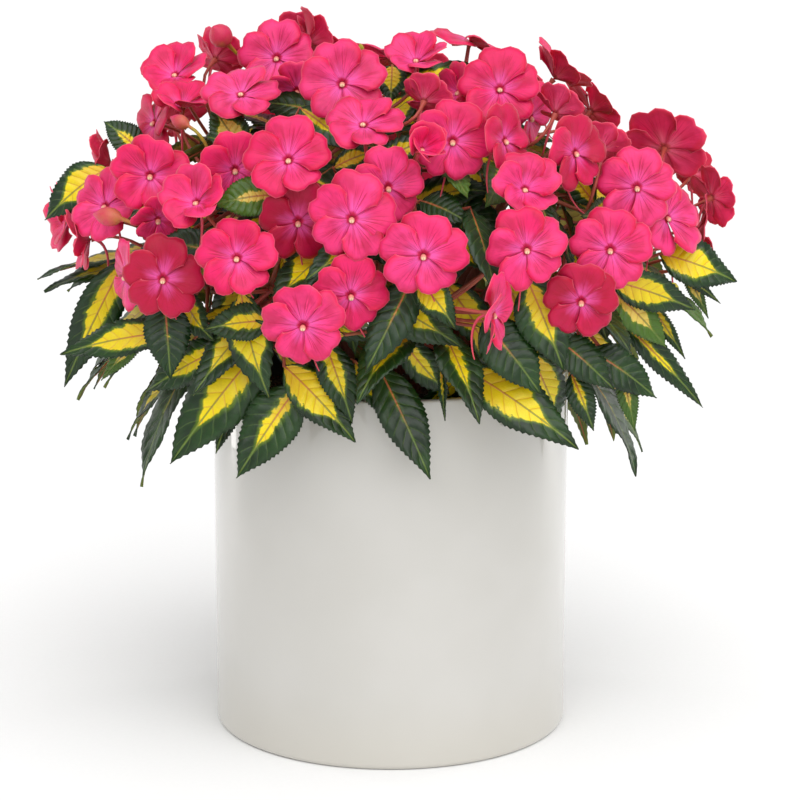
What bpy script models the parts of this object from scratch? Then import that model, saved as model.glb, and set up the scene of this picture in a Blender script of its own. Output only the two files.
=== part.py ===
"""A New Guinea impatiens in flower, in a straight-sided glazed ceramic pot.

Metres, +Z up. The origin is the middle of the pot's base. The viewer stands on the -Y side.
Tables of places are in millimetres, on the upright plane through the pot's axis as the eye sees it.
"""

import math
import random
from typing import NamedTuple

import bmesh
import bpy
from mathutils import Vector
from mathutils.bvhtree import BVHTree

MM = 0.001

# Glazed outer pot
POT_RADIUS = 120 * MM
POT_HEIGHT = 248 * MM
POT_WALL = 6 * MM
POT_FLOOR = 9 * MM
POT_FOOT_ROUND = 3.5 * MM
POT_RIM_ROUND = 1.5 * MM
POT_SIDES = 44

# Black plastic pot that stands inside the glazed one
LINER_TOP = 242 * MM
LINER_LIP_RADIUS = 111.5 * MM
LINER_LIP_DROP = 9 * MM
LINER_TOP_RADIUS = 107 * MM
LINER_FOOT_RADIUS = 86 * MM
LINER_WALL = 1.6 * MM
LINER_SIDES = 20

# Potting soil
SOIL_TOP = 225 * MM
SOIL_CROWN = 4 * MM
SOIL_RINGS = 2
HOLE_DEPTH = 16 * MM
HOLE_SIDES = 5
FIT_GAP = 0.3 * MM

# The eye that the tables are read from, and the rounded outline that the flowers lie on
EYE = Vector((0, -1901.7, 660.5)) * MM
DOME_CENTRE = Vector((0, 0, 320)) * MM
DOME_RADII = Vector((205, 185, 140)) * MM

# Fleshy stems: how many in each ring, how high their tips point, how far out their roots stand
STEM_RINGS = ((9, -4, 62), (6, 32, 40), (3, 64, 16))
STEM_REACH = 0.66
STEM_FOOT_RADIUS = 4.6 * MM
STEM_TIP_RADIUS = 2.4 * MM
STEM_SIDES = 5
STEM_STEPS = 4
STEM_SEED = 11

# Flower heads
HUB_RADIUS = 2.4 * MM
HUB_HALF = 0.9 * MM
PETALS = 5
LARGE_FLOWER = 54
PETAL_THICKNESS = 1.0 * MM
PETAL_SHOULDER = (0.42, 0.26)
PETAL_LOBE = (0.82, 0.48)
PETAL_MIDDLE = 0.55
PETAL_TIP = 0.98
PETAL_SHARES = ((1.0, 1.16), (0.97, 1.0), (0.93, 0.94), (0.93, 0.94), (0.97, 1.0))
# Each form: rise of the petals in degrees, bend at the tip, curl across, twist in degrees, breadth
FORMS = {
    "flat": (5, 0.10, 0.05, 6, 1.0),
    "open": (18, 0.16, 0.10, 7, 0.98),
    "cup": (36, 0.12, 0.35, 9, 0.82),
    "deep": (56, 0.06, 0.70, 12, 0.55),
}
STUB = 7 * MM
STUB_SWELL = 1.3
STALK_RADIUS = 1.1 * MM
STALK_STEPS = (0.42, 1.0)
STALK_REACH = 150 * MM
STALK_BULGE = 9 * MM
BULGES = ((0, 0), (1, 0), (-1, 0), (0, 1), (0, -1), (2, 0), (-2, 0), (0, 2), (0, -2))
NEAREST_BEADS = 9
BEAD_SHARES = (0.60, 1.0)
BEAD_RADIUS = 2.2 * MM
BEAD_GAP = 0.7 * MM
BEAD_LIFT = 60 * MM
BEAD_SIDES = 4
MOST_IN_SPRAY = 5
BUD_SIDES = 5
BUD_OUTLINE = ((0.12, 0.55), (0.45, 0.5), (0.78, 0.3), (1, 0))

# Leaves
BLADE_THICKNESS = 0.9 * MM
PETIOLE_RADIUS = 1.1 * MM
PETIOLE_SHARE = 0.2
TOOTH = 0.07
LARGE_ROWS = ((0.08, 0.20, 0.34, 0.48, 0.62, 0.76, 0.89), (0.18, 0.45, 0.72))
SMALL_ROWS = ((0.12, 0.30, 0.50, 0.70, 0.87), (0.22, 0.60))
LARGE_LEAF = 70 * MM
ARCH = 12 * MM
PETIOLE_REACH = 95 * MM
PETIOLE_TURN = 0.25
PETIOLE_TRIES = 20

# Room kept between pieces that grow past each other
CLEARANCE = 0.5 * MM
ROOM_SIDES = 5

# Flowers seen from the front:
# across, up, sink below the dome, turn, lift, roll (degrees), width, form
FLOWERS = (
    (-59, 273, 0, -5, -4, -14, 62, "flat"),
    (-153, 305, 0, 0, 2, 8, 60, "flat"),
    (-26, 346, 0, 0, 8, 12, 66, "flat"),
    (22, 321, 0, 0, 5, 8, 64, "flat"),
    (147, 325, 0, 0, 5, 6, 62, "flat"),
    (91, 325, 0, 8, 8, -10, 60, "flat"),
    (-103, 319, 0, -5, 20, 2, 60, "open"),
    (164, 367, 0, 5, 8, 5, 60, "flat"),
    (41, 398, 0, 5, 5, 12, 60, "flat"),
    (-68, 385, 0, 0, 28, 0, 62, "open"),
    (-160, 375, 0, -5, 5, 10, 58, "open"),
    (-129, 356, 0, -25, 38, -10, 56, "cup"),
    (-190, 354, 0, -32, 22, 10, 56, "open"),
    (-32, 436, 0, 0, 22, -12, 62, "open"),
    (72, 432, 0, 5, 32, 5, 60, "open"),
    (-75, 453, 0, -10, 20, 0, 58, "open"),
    (-27, 294, 8, 12, -8, 8, 58, "flat"),
    (68, 281, 0, 72, -6, 0, 60, "open"),
    (128, 290, 10, 5, -12, 0, 58, "flat"),
    (184, 346, 4, 40, 25, 0, 62, "open"),
    (-99, 428, 0, -5, 58, 0, 58, "open"),
    (-18, 408, 0, -10, 55, 10, 58, "open"),
    (-2, 367, 10, 15, 0, 0, 58, "flat"),
    (75, 398, 4, 48, 15, 0, 54, "open"),
    (89, 365, 6, 15, 35, 0, 56, "cup"),
    (122, 390, 0, 42, 12, 0, 56, "open"),
    (-142, 441, 0, -20, 50, 0, 54, "cup"),
    (17, 450, 0, -10, 62, 0, 50, "cup"),
    (20, 392, 4, 20, 28, 10, 46, "deep"),
    (-156, 410, 6, -60, 18, 0, 54, "open"),
    (-138, 420, 6, 15, 70, 20, 50, "cup"),
    (-186, 384, 0, -82, 5, 0, 50, "cup"),
    (-201, 332, 0, -80, -8, 0, 52, "cup"),
    (-62, 344, 22, 5, -10, 0, 60, "flat"),
    (-177, 307, 14, -60, 0, 0, 54, "flat"),
    (-104, 379, 16, 15, -5, 0, 56, "open"),
    (182, 393, 0, 165, 25, 20, 62, "open"),
    (201, 376, 14, 170, 0, 0, 44, "deep"),
    (214, 360, 0, 125, 15, 0, 48, "open"),
    (205, 337, 8, 95, 0, 0, 56, "open"),
    (140, 391, 10, 170, 40, 0, 46, "cup"),
    (109, 416, 10, 150, 40, 0, 44, "cup"),
    (22, 424, 10, 160, 30, 0, 42, "cup"),
    (-54, 463, 0, 115, 30, 0, 54, "cup"),
    (-62, 463, 16, 180, 20, 0, 48, "open"),
    (-116, 452, 10, 150, 30, 0, 48, "cup"),
    (-62, 432, 22, 0, -25, 0, 46, "flat"),
    (46, 430, 12, -50, 25, 0, 44, "cup"),
    (92, 414, 16, 55, -10, 0, 48, "open"),
    (-156, 346, 16, 25, -25, 0, 40, "open"),
)

# Flowers on the far side, which stand wherever the dome is still bare
FILL_TRIES = 90
FILL_SPACING = 56 * MM
FILL_LOWEST = -12 * MM
FILL_WIDTHS = (54 * MM, 63 * MM)
FILL_SEED = 5

# Buds: across, up, sink, turn, lift, length, width
BUDS = (
    (-108, 463, 4, -35, 40, 19, 15),
    (-134, 408, 4, -120, 20, 15, 9),
    (-180, 346, 0, -110, 5, 20, 12),
    (186, 300, 10, 60, -20, 9, 8),
    (-19, 457, 6, -20, 60, 7, 4),
)

# Leaves seen from the front: across, up and forward at the base and at the tip, width, arch, roll
LEAVES = (
    (-84, 262, 118, -150, 177, 122, 44, 10, 0),
    (-8, 244, 120, 27, 166, 146, 30, 8, 0),
    (50, 243, 122, 128, 187, 140, 36, 10, 0),
    (-62, 232, 134, -105, 167, 142, 36, 6, 0),
    (62, 276, 132, 102, 225, 140, 34, 8, 0),
    (92, 304, 138, 117, 242, 150, 36, 6, 0),
    (-12, 292, 140, 48, 258, 152, 32, 8, 0),
    (-178, 318, 40, -221, 231, 34, 30, 12, -20),
    (-148, 268, 100, -223, 253, 74, 26, 10, 0),
    (-152, 290, 108, -149, 236, 116, 30, 6, 0),
    (-112, 258, 112, -166, 227, 94, 28, 8, 0),
    (-80, 276, 136, -126, 270, 134, 26, 6, 0),
    (-165, 333, 66, -212, 312, 56, 30, 8, 0),
    (-110, 320, 108, -158, 331, 106, 26, 6, 0),
    (-72, 245, 126, -24, 192, 138, 30, 8, 0),
    (-45, 262, 128, -26, 205, 142, 24, 8, 0),
    (18, 302, 146, 44, 270, 158, 22, 14, 30),
    (112, 264, 124, 152, 228, 126, 26, 6, 0),
    (134, 256, 108, 180, 223, 100, 28, 8, 0),
    (148, 304, 98, 205, 284, 82, 26, 6, 40),
    (180, 322, 68, 232, 303, 56, 34, 8, 0),
    (155, 276, 80, 212, 216, 62, 18, 10, 0),
    (150, 296, 88, 186, 258, 80, 26, 8, 0),
    (191, 332, 52, 150, 306, 90, 28, 6, 0),
    (-188, 380, 0, -231, 345, 2, 30, 12, 0),
    (-74, 362, 122, -118, 355, 124, 28, 6, 0),
    (-165, 390, 20, -190, 411, 14, 22, 4, 0),
    (-98, 390, 66, -119, 421, 56, 26, 4, 0),
    (136, 356, 78, 110, 386, 92, 22, 6, 0),
    (-60, 420, 62, -24, 390, 90, 24, 6, 0),
    (20, 358, 118, 52, 343, 132, 22, 6, 0),
    (1, 448, 24, 0, 423, 40, 20, 6, 0),
    (-165, 268, 70, -196, 235, 62, 14, 6, 0),
    (-100, 240, 112, -119, 184, 122, 18, 6, 0),
    (-24, 248, 120, 0, 207, 134, 20, 6, 0),
    (34, 248, 122, 37, 207, 136, 10, 4, 60),
    (122, 240, 112, 138, 200, 120, 18, 6, 0),
    (156, 242, 100, 166, 200, 102, 14, 6, 0),
    (182, 318, 40, 222, 288, 32, 10, 6, 0),
    (196, 312, 36, 214, 278, 30, 10, 6, 0),
    (205, 340, 18, 248, 334, 10, 11, 8, 60),
    (172, 290, 50, 199, 250, 42, 11, 6, 0),
    (-38, 380, 112, -6, 392, 110, 16, 6, 0),
)

# Leaves round the tip of each stem, by rule: how many in each ring of stems, pitch from the stem,
# droop as a share of length
TIP_LEAVES = (3, 4, 4)
GOLDEN_TURN = math.radians(137.5)
LEAF_LENGTHS = (78 * MM, 100 * MM)
LEAF_WIDTH_SHARE = 0.36
LEAF_PITCH = (52, 74)
LEAF_DROOP = (0.10, 0.30)
LEAF_SEED = 23

# Leaves that hang round the sides and the far side, tier by tier:
# how many, radius and height of the base, radius and height of the tip, width
TIERS = (
    (15, 118, 268, 166, 192, 38),
    (14, 134, 296, 200, 236, 36),
    (13, 146, 328, 224, 288, 34),
)
TIER_START = 66
TIER_SEED = 41

# Colours and finish: base colour, roughness
GLAZE = ((0.62, 0.60, 0.55), 0.18)
BLACK_PLASTIC = ((0.012, 0.012, 0.012), 0.45)
SOIL_COLOUR = ((0.035, 0.022, 0.014), 0.95)
LEAF_GREEN = ((0.05, 0.13, 0.02), 0.45)
PETAL_PINK = ((0.86, 0.05, 0.20), 0.55)


class Stem(NamedTuple):
    """A stem's route as three points of a curve."""

    root: Vector
    bend: Vector
    tip: Vector


class Pose(NamedTuple):
    """Where a flower head is, which way it faces and how its petals stand."""

    centre: Vector
    right: Vector
    up: Vector
    out: Vector
    length: float
    roll: float
    form: str
    shouldered: bool


class Blade(NamedTuple):
    """A leaf blade's curve from base to tip, the way its upper face looks, its width and roll."""

    base: Vector
    bend: Vector
    tip: Vector
    face: Vector
    width: float
    roll: float
    fine: bool


def clear_scene():
    for thing in list(bpy.data.objects):
        bpy.data.objects.remove(thing, do_unlink=True)


def finish(name, colour, roughness):
    """A Principled material of one colour."""
    material = bpy.data.materials.new(name)
    material.use_nodes = True
    shader = material.node_tree.nodes["Principled BSDF"]
    shader.inputs["Base Color"].default_value = (*colour, 1)
    shader.inputs["Roughness"].default_value = roughness
    material.diffuse_color = (*colour, 1)
    return material


def sight(across, up, forward):
    """The point that the eye sees at this place on the upright plane, this far in front of the plane."""
    seen = Vector((across * MM, 0, up * MM))
    share = (-forward * MM - EYE.y) / (seen.y - EYE.y)
    return EYE + (seen - EYE) * share


def dome_forward(across, up):
    """How far in front of the plane the line of sight meets the dome, or passes nearest to it, in mm."""
    way = Vector((across * MM, 0, up * MM)) - EYE
    start = EYE - DOME_CENTRE
    start = Vector([a / b for a, b in zip(start, DOME_RADII)])
    slope = Vector([a / b for a, b in zip(way, DOME_RADII)])
    middle = -start.dot(slope) / slope.dot(slope)
    depth = middle * middle - (start.dot(start) - 1) / slope.dot(slope)
    share = middle - math.sqrt(max(depth, 0))
    return -(EYE.y + way.y * share) / MM


def facing(turn, lift):
    """Right, up and outward directions of what faces the viewer, turned and lifted by these degrees."""
    turn = math.radians(turn)
    lift = math.radians(lift)
    right = Vector((math.cos(turn), math.sin(turn), 0))
    up = Vector((-math.sin(turn) * math.sin(lift), math.cos(turn) * math.sin(lift), math.cos(lift)))
    out = Vector((math.sin(turn) * math.cos(lift), -math.cos(turn) * math.cos(lift), math.sin(lift)))
    return right, up, out


def curve_point(first, bend, last, share):
    """A point of the curve that leaves first towards bend and arrives at last from it."""
    return first * (1 - share) ** 2 + bend * 2 * share * (1 - share) + last * share**2


def curve_way(first, bend, last, share):
    """The direction of that curve."""
    return ((bend - first) * (1 - share) + (last - bend) * share).normalized()


class Shape:
    """Corners and faces of one closed skin while it is built up."""

    def __init__(self):
        self.points = []
        self.faces = []

    def corner(self, place):
        self.points.append(place)
        return len(self.points) - 1

    def fan(self, ring):
        """Closes a ring of corners whose order turns left seen from outside."""
        for second, third in zip(ring[1:], ring[2:]):
            self.faces.append((ring[0], second, third))

    def grow(self, ring, path, radii):
        """Carries a ring from the first point of a path to its last, and closes it there."""
        side = self.points[ring[0]] - path[0]
        turns = [math.tau * i / len(ring) for i in range(len(ring))]
        for i in range(1, len(path)):
            way = (path[min(i + 1, len(path) - 1)] - path[i - 1]).normalized()
            side = (side - way * side.dot(way)).normalized()
            across = way.cross(side)
            pairs = list(zip(ring, ring[1:] + ring[:1]))
            if radii[i] == 0:
                tip = self.corner(path[i])
                self.faces += [(a, b, tip) for a, b in pairs]
                return
            spread = [(side * math.cos(turn) + across * math.sin(turn)) * radii[i] for turn in turns]
            new = [self.corner(path[i] + offset) for offset in spread]
            for (a, b), (c, d) in zip(pairs, zip(new, new[1:] + new[:1])):
                self.faces += [(a, b, d), (a, d, c)]
            ring = new
        self.fan(ring)

    def start(self, path, radius, sides):
        """A closed first ring round the start of a path."""
        way = (path[1] - path[0]).normalized()
        side = way.orthogonal().normalized()
        across = way.cross(side)
        turns = [math.tau * i / sides for i in range(sides)]
        ring = [
            self.corner(path[0] + (side * math.cos(turn) + across * math.sin(turn)) * radius)
            for turn in turns
        ]
        self.fan(ring[::-1])
        return ring

    def swollen(self, by):
        """The corners moved outwards."""
        normals = [Vector((0, 0, 0)) for _ in self.points]
        for a, b, c in self.faces:
            normal = (self.points[b] - self.points[a]).cross(self.points[c] - self.points[a]).normalized()
            for i in (a, b, c):
                normals[i] += normal
        return [point + normal.normalized() * by for point, normal in zip(self.points, normals)]

    def object(self, name, material=None):
        mesh = bpy.data.meshes.new(name)
        mesh.from_pydata([tuple(point) for point in self.points], [], self.faces)
        thing = bpy.data.objects.new(name, mesh)
        bpy.context.scene.collection.objects.link(thing)
        if material:
            mesh.materials.append(material)
        return thing


def tube(path, radii, sides):
    shape = Shape()
    shape.grow(shape.start(path, radii[0], sides), path, radii)
    return shape


def room(path, radius):
    """A tube that holds any thin stalk of this radius along the path, however its corners are turned."""
    return tube(path, [radius / math.cos(math.pi / ROOM_SIDES)] * len(path), ROOM_SIDES)


class Space:
    """The room already taken, as search trees in their bounding balls."""

    def __init__(self):
        self.taken = []

    def ball(self, points):
        middle = sum(points, Vector((0, 0, 0))) / len(points)
        return middle, max((point - middle).length for point in points)

    def add(self, group, shape):
        tree = BVHTree.FromPolygons(shape.points, shape.faces)
        self.taken.append((group, *self.ball(shape.points), tree))

    def free(self, shape, ignored=()):
        """Whether a shape clears all that is taken, but for the ignored groups."""
        points = shape.swollen(CLEARANCE)
        middle, radius = self.ball(points)
        tree = None
        for group, other_middle, other_radius, other in self.taken:
            if group in ignored or (middle - other_middle).length > radius + other_radius:
                continue
            tree = tree or BVHTree.FromPolygons(points, shape.faces)
            if tree.overlap(other):
                return False
        return True


def turned(name, profile, sides, material):
    """A solid of revolution about Z. The profile's (radius, height) points start and end on the axis."""
    mesh = bmesh.new()
    points = [mesh.verts.new((radius, 0, height)) for radius, height in profile]
    edges = [mesh.edges.new(pair) for pair in zip(points, points[1:])]
    bmesh.ops.spin(
        mesh,
        geom=points + edges,
        axis=(0, 0, 1),
        cent=(0, 0, 0),
        angle=math.tau,
        steps=sides,
        use_merge=True,
    )
    bmesh.ops.remove_doubles(mesh, verts=mesh.verts, dist=0.001 * MM)
    bmesh.ops.recalc_face_normals(mesh, faces=mesh.faces)
    data = bpy.data.meshes.new(name)
    mesh.to_mesh(data)
    mesh.free()
    data.materials.append(material)
    data.shade_smooth()
    data.set_sharp_from_angle(angle=math.radians(35))
    thing = bpy.data.objects.new(name, data)
    bpy.context.scene.collection.objects.link(thing)
    return thing


def arc(radius, height, size, first, last, steps=2):
    """Points of a round from one angle to another, in degrees from the outward direction."""
    turns = [math.radians(first + (last - first) * i / steps) for i in range(steps + 1)]
    return [(radius + size * math.cos(turn), height + size * math.sin(turn)) for turn in turns]


def make_pot():
    inside = POT_RADIUS - POT_WALL
    profile = [(0, 0)]
    profile += arc(POT_RADIUS - POT_FOOT_ROUND, POT_FOOT_ROUND, POT_FOOT_ROUND, -90, 0)
    profile += arc(POT_RADIUS - POT_RIM_ROUND, POT_HEIGHT - POT_RIM_ROUND, POT_RIM_ROUND, 0, 90)
    profile += arc(inside + POT_RIM_ROUND, POT_HEIGHT - POT_RIM_ROUND, POT_RIM_ROUND, 90, 180)
    profile += [(inside, POT_FLOOR), (0, POT_FLOOR)]
    return turned("pot", profile, POT_SIDES, finish("glaze", *GLAZE))


def liner_inside(height):
    """The inner radius of the plastic pot at a height."""
    foot = POT_FLOOR + FIT_GAP + LINER_WALL
    share = (height - foot) / (LINER_TOP - foot)
    return LINER_FOOT_RADIUS - LINER_WALL + (LINER_TOP_RADIUS - LINER_FOOT_RADIUS) * share


def make_liner():
    foot = POT_FLOOR + FIT_GAP
    lip = LINER_TOP - LINER_LIP_DROP
    profile = [
        (0, foot),
        (LINER_FOOT_RADIUS, foot),
        (liner_inside(lip) + LINER_WALL, lip),
        (LINER_LIP_RADIUS, lip),
        (LINER_LIP_RADIUS, LINER_TOP),
        (liner_inside(LINER_TOP), LINER_TOP),
        (liner_inside(foot + LINER_WALL), foot + LINER_WALL),
        (0, foot + LINER_WALL),
    ]
    return turned("grow_pot", profile, LINER_SIDES, finish("black plastic", *BLACK_PLASTIC))


def make_soil(stems):
    """Soil that fills the plastic pot, a little crowned, with a plain hole for each stem."""
    foot = POT_FLOOR + 2 * FIT_GAP + LINER_WALL
    wide = liner_inside(SOIL_TOP) - 2 * FIT_GAP
    profile = [(0, foot), (liner_inside(foot) - 2 * FIT_GAP, foot), (wide, SOIL_TOP)]
    for ring in range(SOIL_RINGS - 1, -1, -1):
        share = ring / SOIL_RINGS
        profile.append((wide * share, SOIL_TOP + SOIL_CROWN * math.cos(share * math.pi / 2)))
    soil = turned("soil", profile, LINER_SIDES, finish("soil", *SOIL_COLOUR))
    cutters = bpy.data.collections.new("stem holes")
    bpy.context.scene.collection.children.link(cutters)
    for stem in stems:
        bottom = stem.root - Vector((0, 0, FIT_GAP))
        top = Vector((stem.root.x, stem.root.y, SOIL_TOP + 3 * SOIL_CROWN))
        radius = STEM_FOOT_RADIUS / math.cos(math.pi / HOLE_SIDES) + 2 * FIT_GAP
        cutter = tube([bottom, top], [radius, radius], HOLE_SIDES).object("stem hole")
        bpy.context.scene.collection.objects.unlink(cutter)
        cutters.objects.link(cutter)
    combine(soil, cutters, "DIFFERENCE", "EXACT")
    return soil


def combine(thing, others, operation, solver):
    """Applies one Boolean with a collection, and removes the collection and its objects."""
    modifier = thing.modifiers.new("combine", "BOOLEAN")
    modifier.operation = operation
    modifier.operand_type = "COLLECTION"
    modifier.collection = others
    modifier.solver = solver
    with bpy.context.temp_override(object=thing, active_object=thing):
        bpy.ops.object.modifier_apply(modifier=modifier.name)
    for other in list(others.objects):
        bpy.data.objects.remove(other, do_unlink=True)
    bpy.data.collections.remove(others)


def fused(name, shapes, material):
    """One object from shapes that grow into each other."""
    thing = shapes[0].object(name, material)
    if len(shapes) > 1:
        others = bpy.data.collections.new(name)
        bpy.context.scene.collection.children.link(others)
        for shape in shapes[1:]:
            other = shape.object(name + " part", material)
            bpy.context.scene.collection.objects.unlink(other)
            others.objects.link(other)
        combine(thing, others, "UNION", "MANIFOLD")
    return thing


def plan_stems():
    """Stems that fan out from the soil, ring by ring, each root standing straight in its hole."""
    draw = random.Random(STEM_SEED)
    stems = []
    for ring, (count, lift, root_radius) in enumerate(STEM_RINGS):
        for i in range(count):
            turn = math.tau * (i + 0.5 * ring + draw.uniform(-0.12, 0.12)) / count
            height = math.radians(lift + draw.uniform(-4, 4))
            ways = (math.cos(turn), math.sin(turn))
            root = Vector((*(way * root_radius * MM for way in ways), SOIL_TOP - HOLE_DEPTH))
            spread = (math.cos(height) * ways[0], math.cos(height) * ways[1], math.sin(height))
            reach = Vector([a * b for a, b in zip(spread, DOME_RADII)]) * STEM_REACH
            tip = DOME_CENTRE + reach
            bend = Vector((root.x * 1.25, root.y * 1.25, root.z * 0.4 + tip.z * 0.6 + 12 * MM))
            stems.append(Stem(root, bend, tip))
    return stems


def stem_shape(stem):
    shares = [i / STEM_STEPS for i in range(STEM_STEPS + 1)]
    collar = stem.root + Vector((0, 0, HOLE_DEPTH + SOIL_CROWN))
    path = [stem.root] + [curve_point(collar, stem.bend, stem.tip, share) for share in shares]
    taper = STEM_TIP_RADIUS - STEM_FOOT_RADIUS
    radii = [STEM_FOOT_RADIUS] + [STEM_FOOT_RADIUS + taper * share for share in shares]
    return tube(path, radii, STEM_SIDES)


def stem_point(stem, share):
    collar = stem.root + Vector((0, 0, HOLE_DEPTH + SOIL_CROWN))
    return curve_point(collar, stem.bend, stem.tip, share)


def stem_way(stem, share):
    collar = stem.root + Vector((0, 0, HOLE_DEPTH + SOIL_CROWN))
    return curve_way(collar, stem.bend, stem.tip, share)


def stem_radius(share):
    return STEM_FOOT_RADIUS + (STEM_TIP_RADIUS - STEM_FOOT_RADIUS) * share


def plan_beads(stems):
    """The joints where flower stalks gather: one beside each stem and one just past its tip."""
    beads = []
    for stem in stems:
        for share in BEAD_SHARES:
            place = stem_point(stem, share)
            way = stem_way(stem, share)
            if share == 1:
                beads.append(place + way * (BEAD_RADIUS + BEAD_GAP))
            else:
                away = place - DOME_CENTRE + Vector((0, 0, BEAD_LIFT))
                out = (away - way * away.dot(way)).normalized()
                beads.append(place + out * (stem_radius(share) + BEAD_RADIUS + BEAD_GAP))
    return beads


def petal_point(pose, number, along, across, rise=0.0):
    """A point of a petal, in petal lengths along and across it, raised off its middle surface by metres."""
    cup, bend, curl, twist, breadth = FORMS[pose.form]
    long_share, wide_share = PETAL_SHARES[number]
    along = along * long_share
    across = across * wide_share * breadth
    turn = math.radians(90 - pose.roll + 360 * number / PETALS)
    outward = pose.right * math.cos(turn) + pose.up * math.sin(turn)
    side = pose.right * math.sin(turn) - pose.up * math.cos(turn)
    rise = rise / pose.length + curl * across**2 - bend * along**2 + math.tan(math.radians(twist)) * across
    cup = math.radians(cup)
    radial = along * math.cos(cup) - rise * math.sin(cup)
    height = along * math.sin(cup) + rise * math.cos(cup)
    return pose.centre + (side * across + outward * radial + pose.out * height) * pose.length


def head_shape(pose, stalk):
    """A flower head with its petals and its stalk, as one closed skin."""
    shape = Shape()
    turns = [math.radians(90 - pose.roll + 360 * (i - 0.5) / PETALS) for i in range(PETALS)]
    around = [pose.right * math.cos(turn) + pose.up * math.sin(turn) for turn in turns]
    top = [shape.corner(pose.centre + way * HUB_RADIUS + pose.out * HUB_HALF) for way in around]
    low = [shape.corner(pose.centre + way * HUB_RADIUS - pose.out * HUB_HALF) for way in around]
    shape.fan(top)
    for number in range(PETALS):
        following = (number + 1) % PETALS
        grow_petal(shape, pose, number, (top[number], top[following]), (low[number], low[following]))
    back = pose.centre - pose.out * HUB_HALF
    shape.faces += [(low[3], low[2], low[1]), (low[4], low[3], low[0])]
    radii = [HUB_RADIUS, STUB_SWELL * STALK_RADIUS] + [STALK_RADIUS] * (len(stalk) - 1)
    shape.grow([low[3], low[1], low[0]], [back] + stalk, radii)
    return shape


def grow_petal(shape, pose, number, top, low):
    """A thin petal that starts from one side of the hub."""
    half = [PETAL_SHOULDER, PETAL_LOBE] if pose.shouldered else [PETAL_LOBE]
    places = half + [(PETAL_TIP, 0)] + [(along, -across) for along, across in half[::-1]]
    rim = [shape.corner(petal_point(pose, number, *place)) for place in places]
    over = shape.corner(petal_point(pose, number, PETAL_MIDDLE, 0, PETAL_THICKNESS / 2))
    under = shape.corner(petal_point(pose, number, PETAL_MIDDLE, 0, -PETAL_THICKNESS / 2))
    upper = [top[1], top[0]] + rim
    lower = [low[1], low[0]] + rim
    for a, b in zip(upper, upper[1:] + upper[:1]):
        shape.faces.append((a, b, over))
    for a, b in zip(lower, lower[1:] + lower[:1]):
        shape.faces.append((b, a, under))
    shape.faces.append((rim[0], top[0], low[0]))
    shape.faces.append((top[1], rim[-1], low[1]))


def flower_choices(flower):
    """Poses to try for a flower in the table, at growing steps along the line of sight."""
    across, up, sink, turn, lift, roll, width, form = flower
    forward = dome_forward(across, up) - sink
    for smaller in (1, 0.92, 0.84):
        for step in (0, -6, 6, -12, 12, -18, 18, -26, 26, -34, 34):
            centre = sight(across, up, forward + step)
            length = 0.5 * width * MM * smaller * (centre - EYE).length / (sight(across, up, 0) - EYE).length
            yield Pose(centre, *facing(turn, lift), length, roll, form, width > LARGE_FLOWER)


def fill_choices(number):
    """Poses to try for a flower on the bare parts of the dome."""
    draw = random.Random(FILL_SEED + number)
    height = 1 - 1.35 * (number + 0.5) / FILL_TRIES
    turn = number * GOLDEN_TURN
    spread = math.sqrt(max(1 - height * height, 0))
    way = Vector((math.sin(turn) * spread, math.cos(turn) * spread, height))
    place = DOME_CENTRE + Vector([a * b for a, b in zip(way, DOME_RADII)])
    normal = Vector([a / b for a, b in zip(way, DOME_RADII)]).normalized()
    turn = math.degrees(math.atan2(normal.x, -normal.y)) + draw.uniform(-30, 30)
    lift = math.degrees(math.asin(normal.z)) * 0.7 + draw.uniform(-14, 22)
    roll = draw.uniform(-36, 36)
    width = draw.uniform(*FILL_WIDTHS)
    form = draw.choice(("flat", "open", "open", "cup"))
    for step in (0, -8, 8, -16, 16, -24):
        yield Pose(place + normal * step * MM, *facing(turn, lift), width / 2, roll, form, False)


def stub_of(pose):
    return pose.centre - pose.out * (HUB_HALF + STUB)


def plan_heads(space):
    """Flower heads that clear each other and the stems: the table's, then the far side's."""
    poses = []
    for flower in FLOWERS:
        for pose in flower_choices(flower):
            if place_head(space, pose, len(poses)):
                poses.append(pose)
                break
    for number in range(FILL_TRIES):
        for pose in fill_choices(number):
            crowded = any((pose.centre - other.centre).length < FILL_SPACING for other in poses)
            if pose.centre.z < DOME_CENTRE.z + FILL_LOWEST or crowded:
                continue
            if place_head(space, pose, len(poses)):
                poses.append(pose)
                break
    return poses


def place_head(space, pose, number):
    shape = head_shape(pose, [stub_of(pose)])
    if not space.free(shape):
        return False
    space.add(f"head {number}", shape)
    return True


def stalk_choices(start, way, beads):
    """Stalk routes to try, from the nearest beads and bulging to one side or another."""
    near = sorted(range(len(beads)), key=lambda i: (beads[i] - start).length)
    for number in near[:NEAREST_BEADS]:
        bead = beads[number]
        distance = (bead - start).length
        if distance > STALK_REACH:
            return
        side = (bead - start).cross(way).normalized()
        other = (bead - start).cross(side).normalized()
        for bulge in BULGES:
            shift = (side * bulge[0] + other * bulge[1]) * STALK_BULGE
            leave = start + way * 0.35 * distance + shift
            arrive = bead.lerp(start, 0.3) + shift
            route = [cubic_point(start, leave, arrive, bead, share) for share in STALK_STEPS]
            yield number, route


def cubic_point(first, leave, arrive, last, share):
    rest = 1 - share
    return (
        first * rest**3 + leave * 3 * rest**2 * share + arrive * 3 * rest * share**2 + last * share**3
    )


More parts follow.
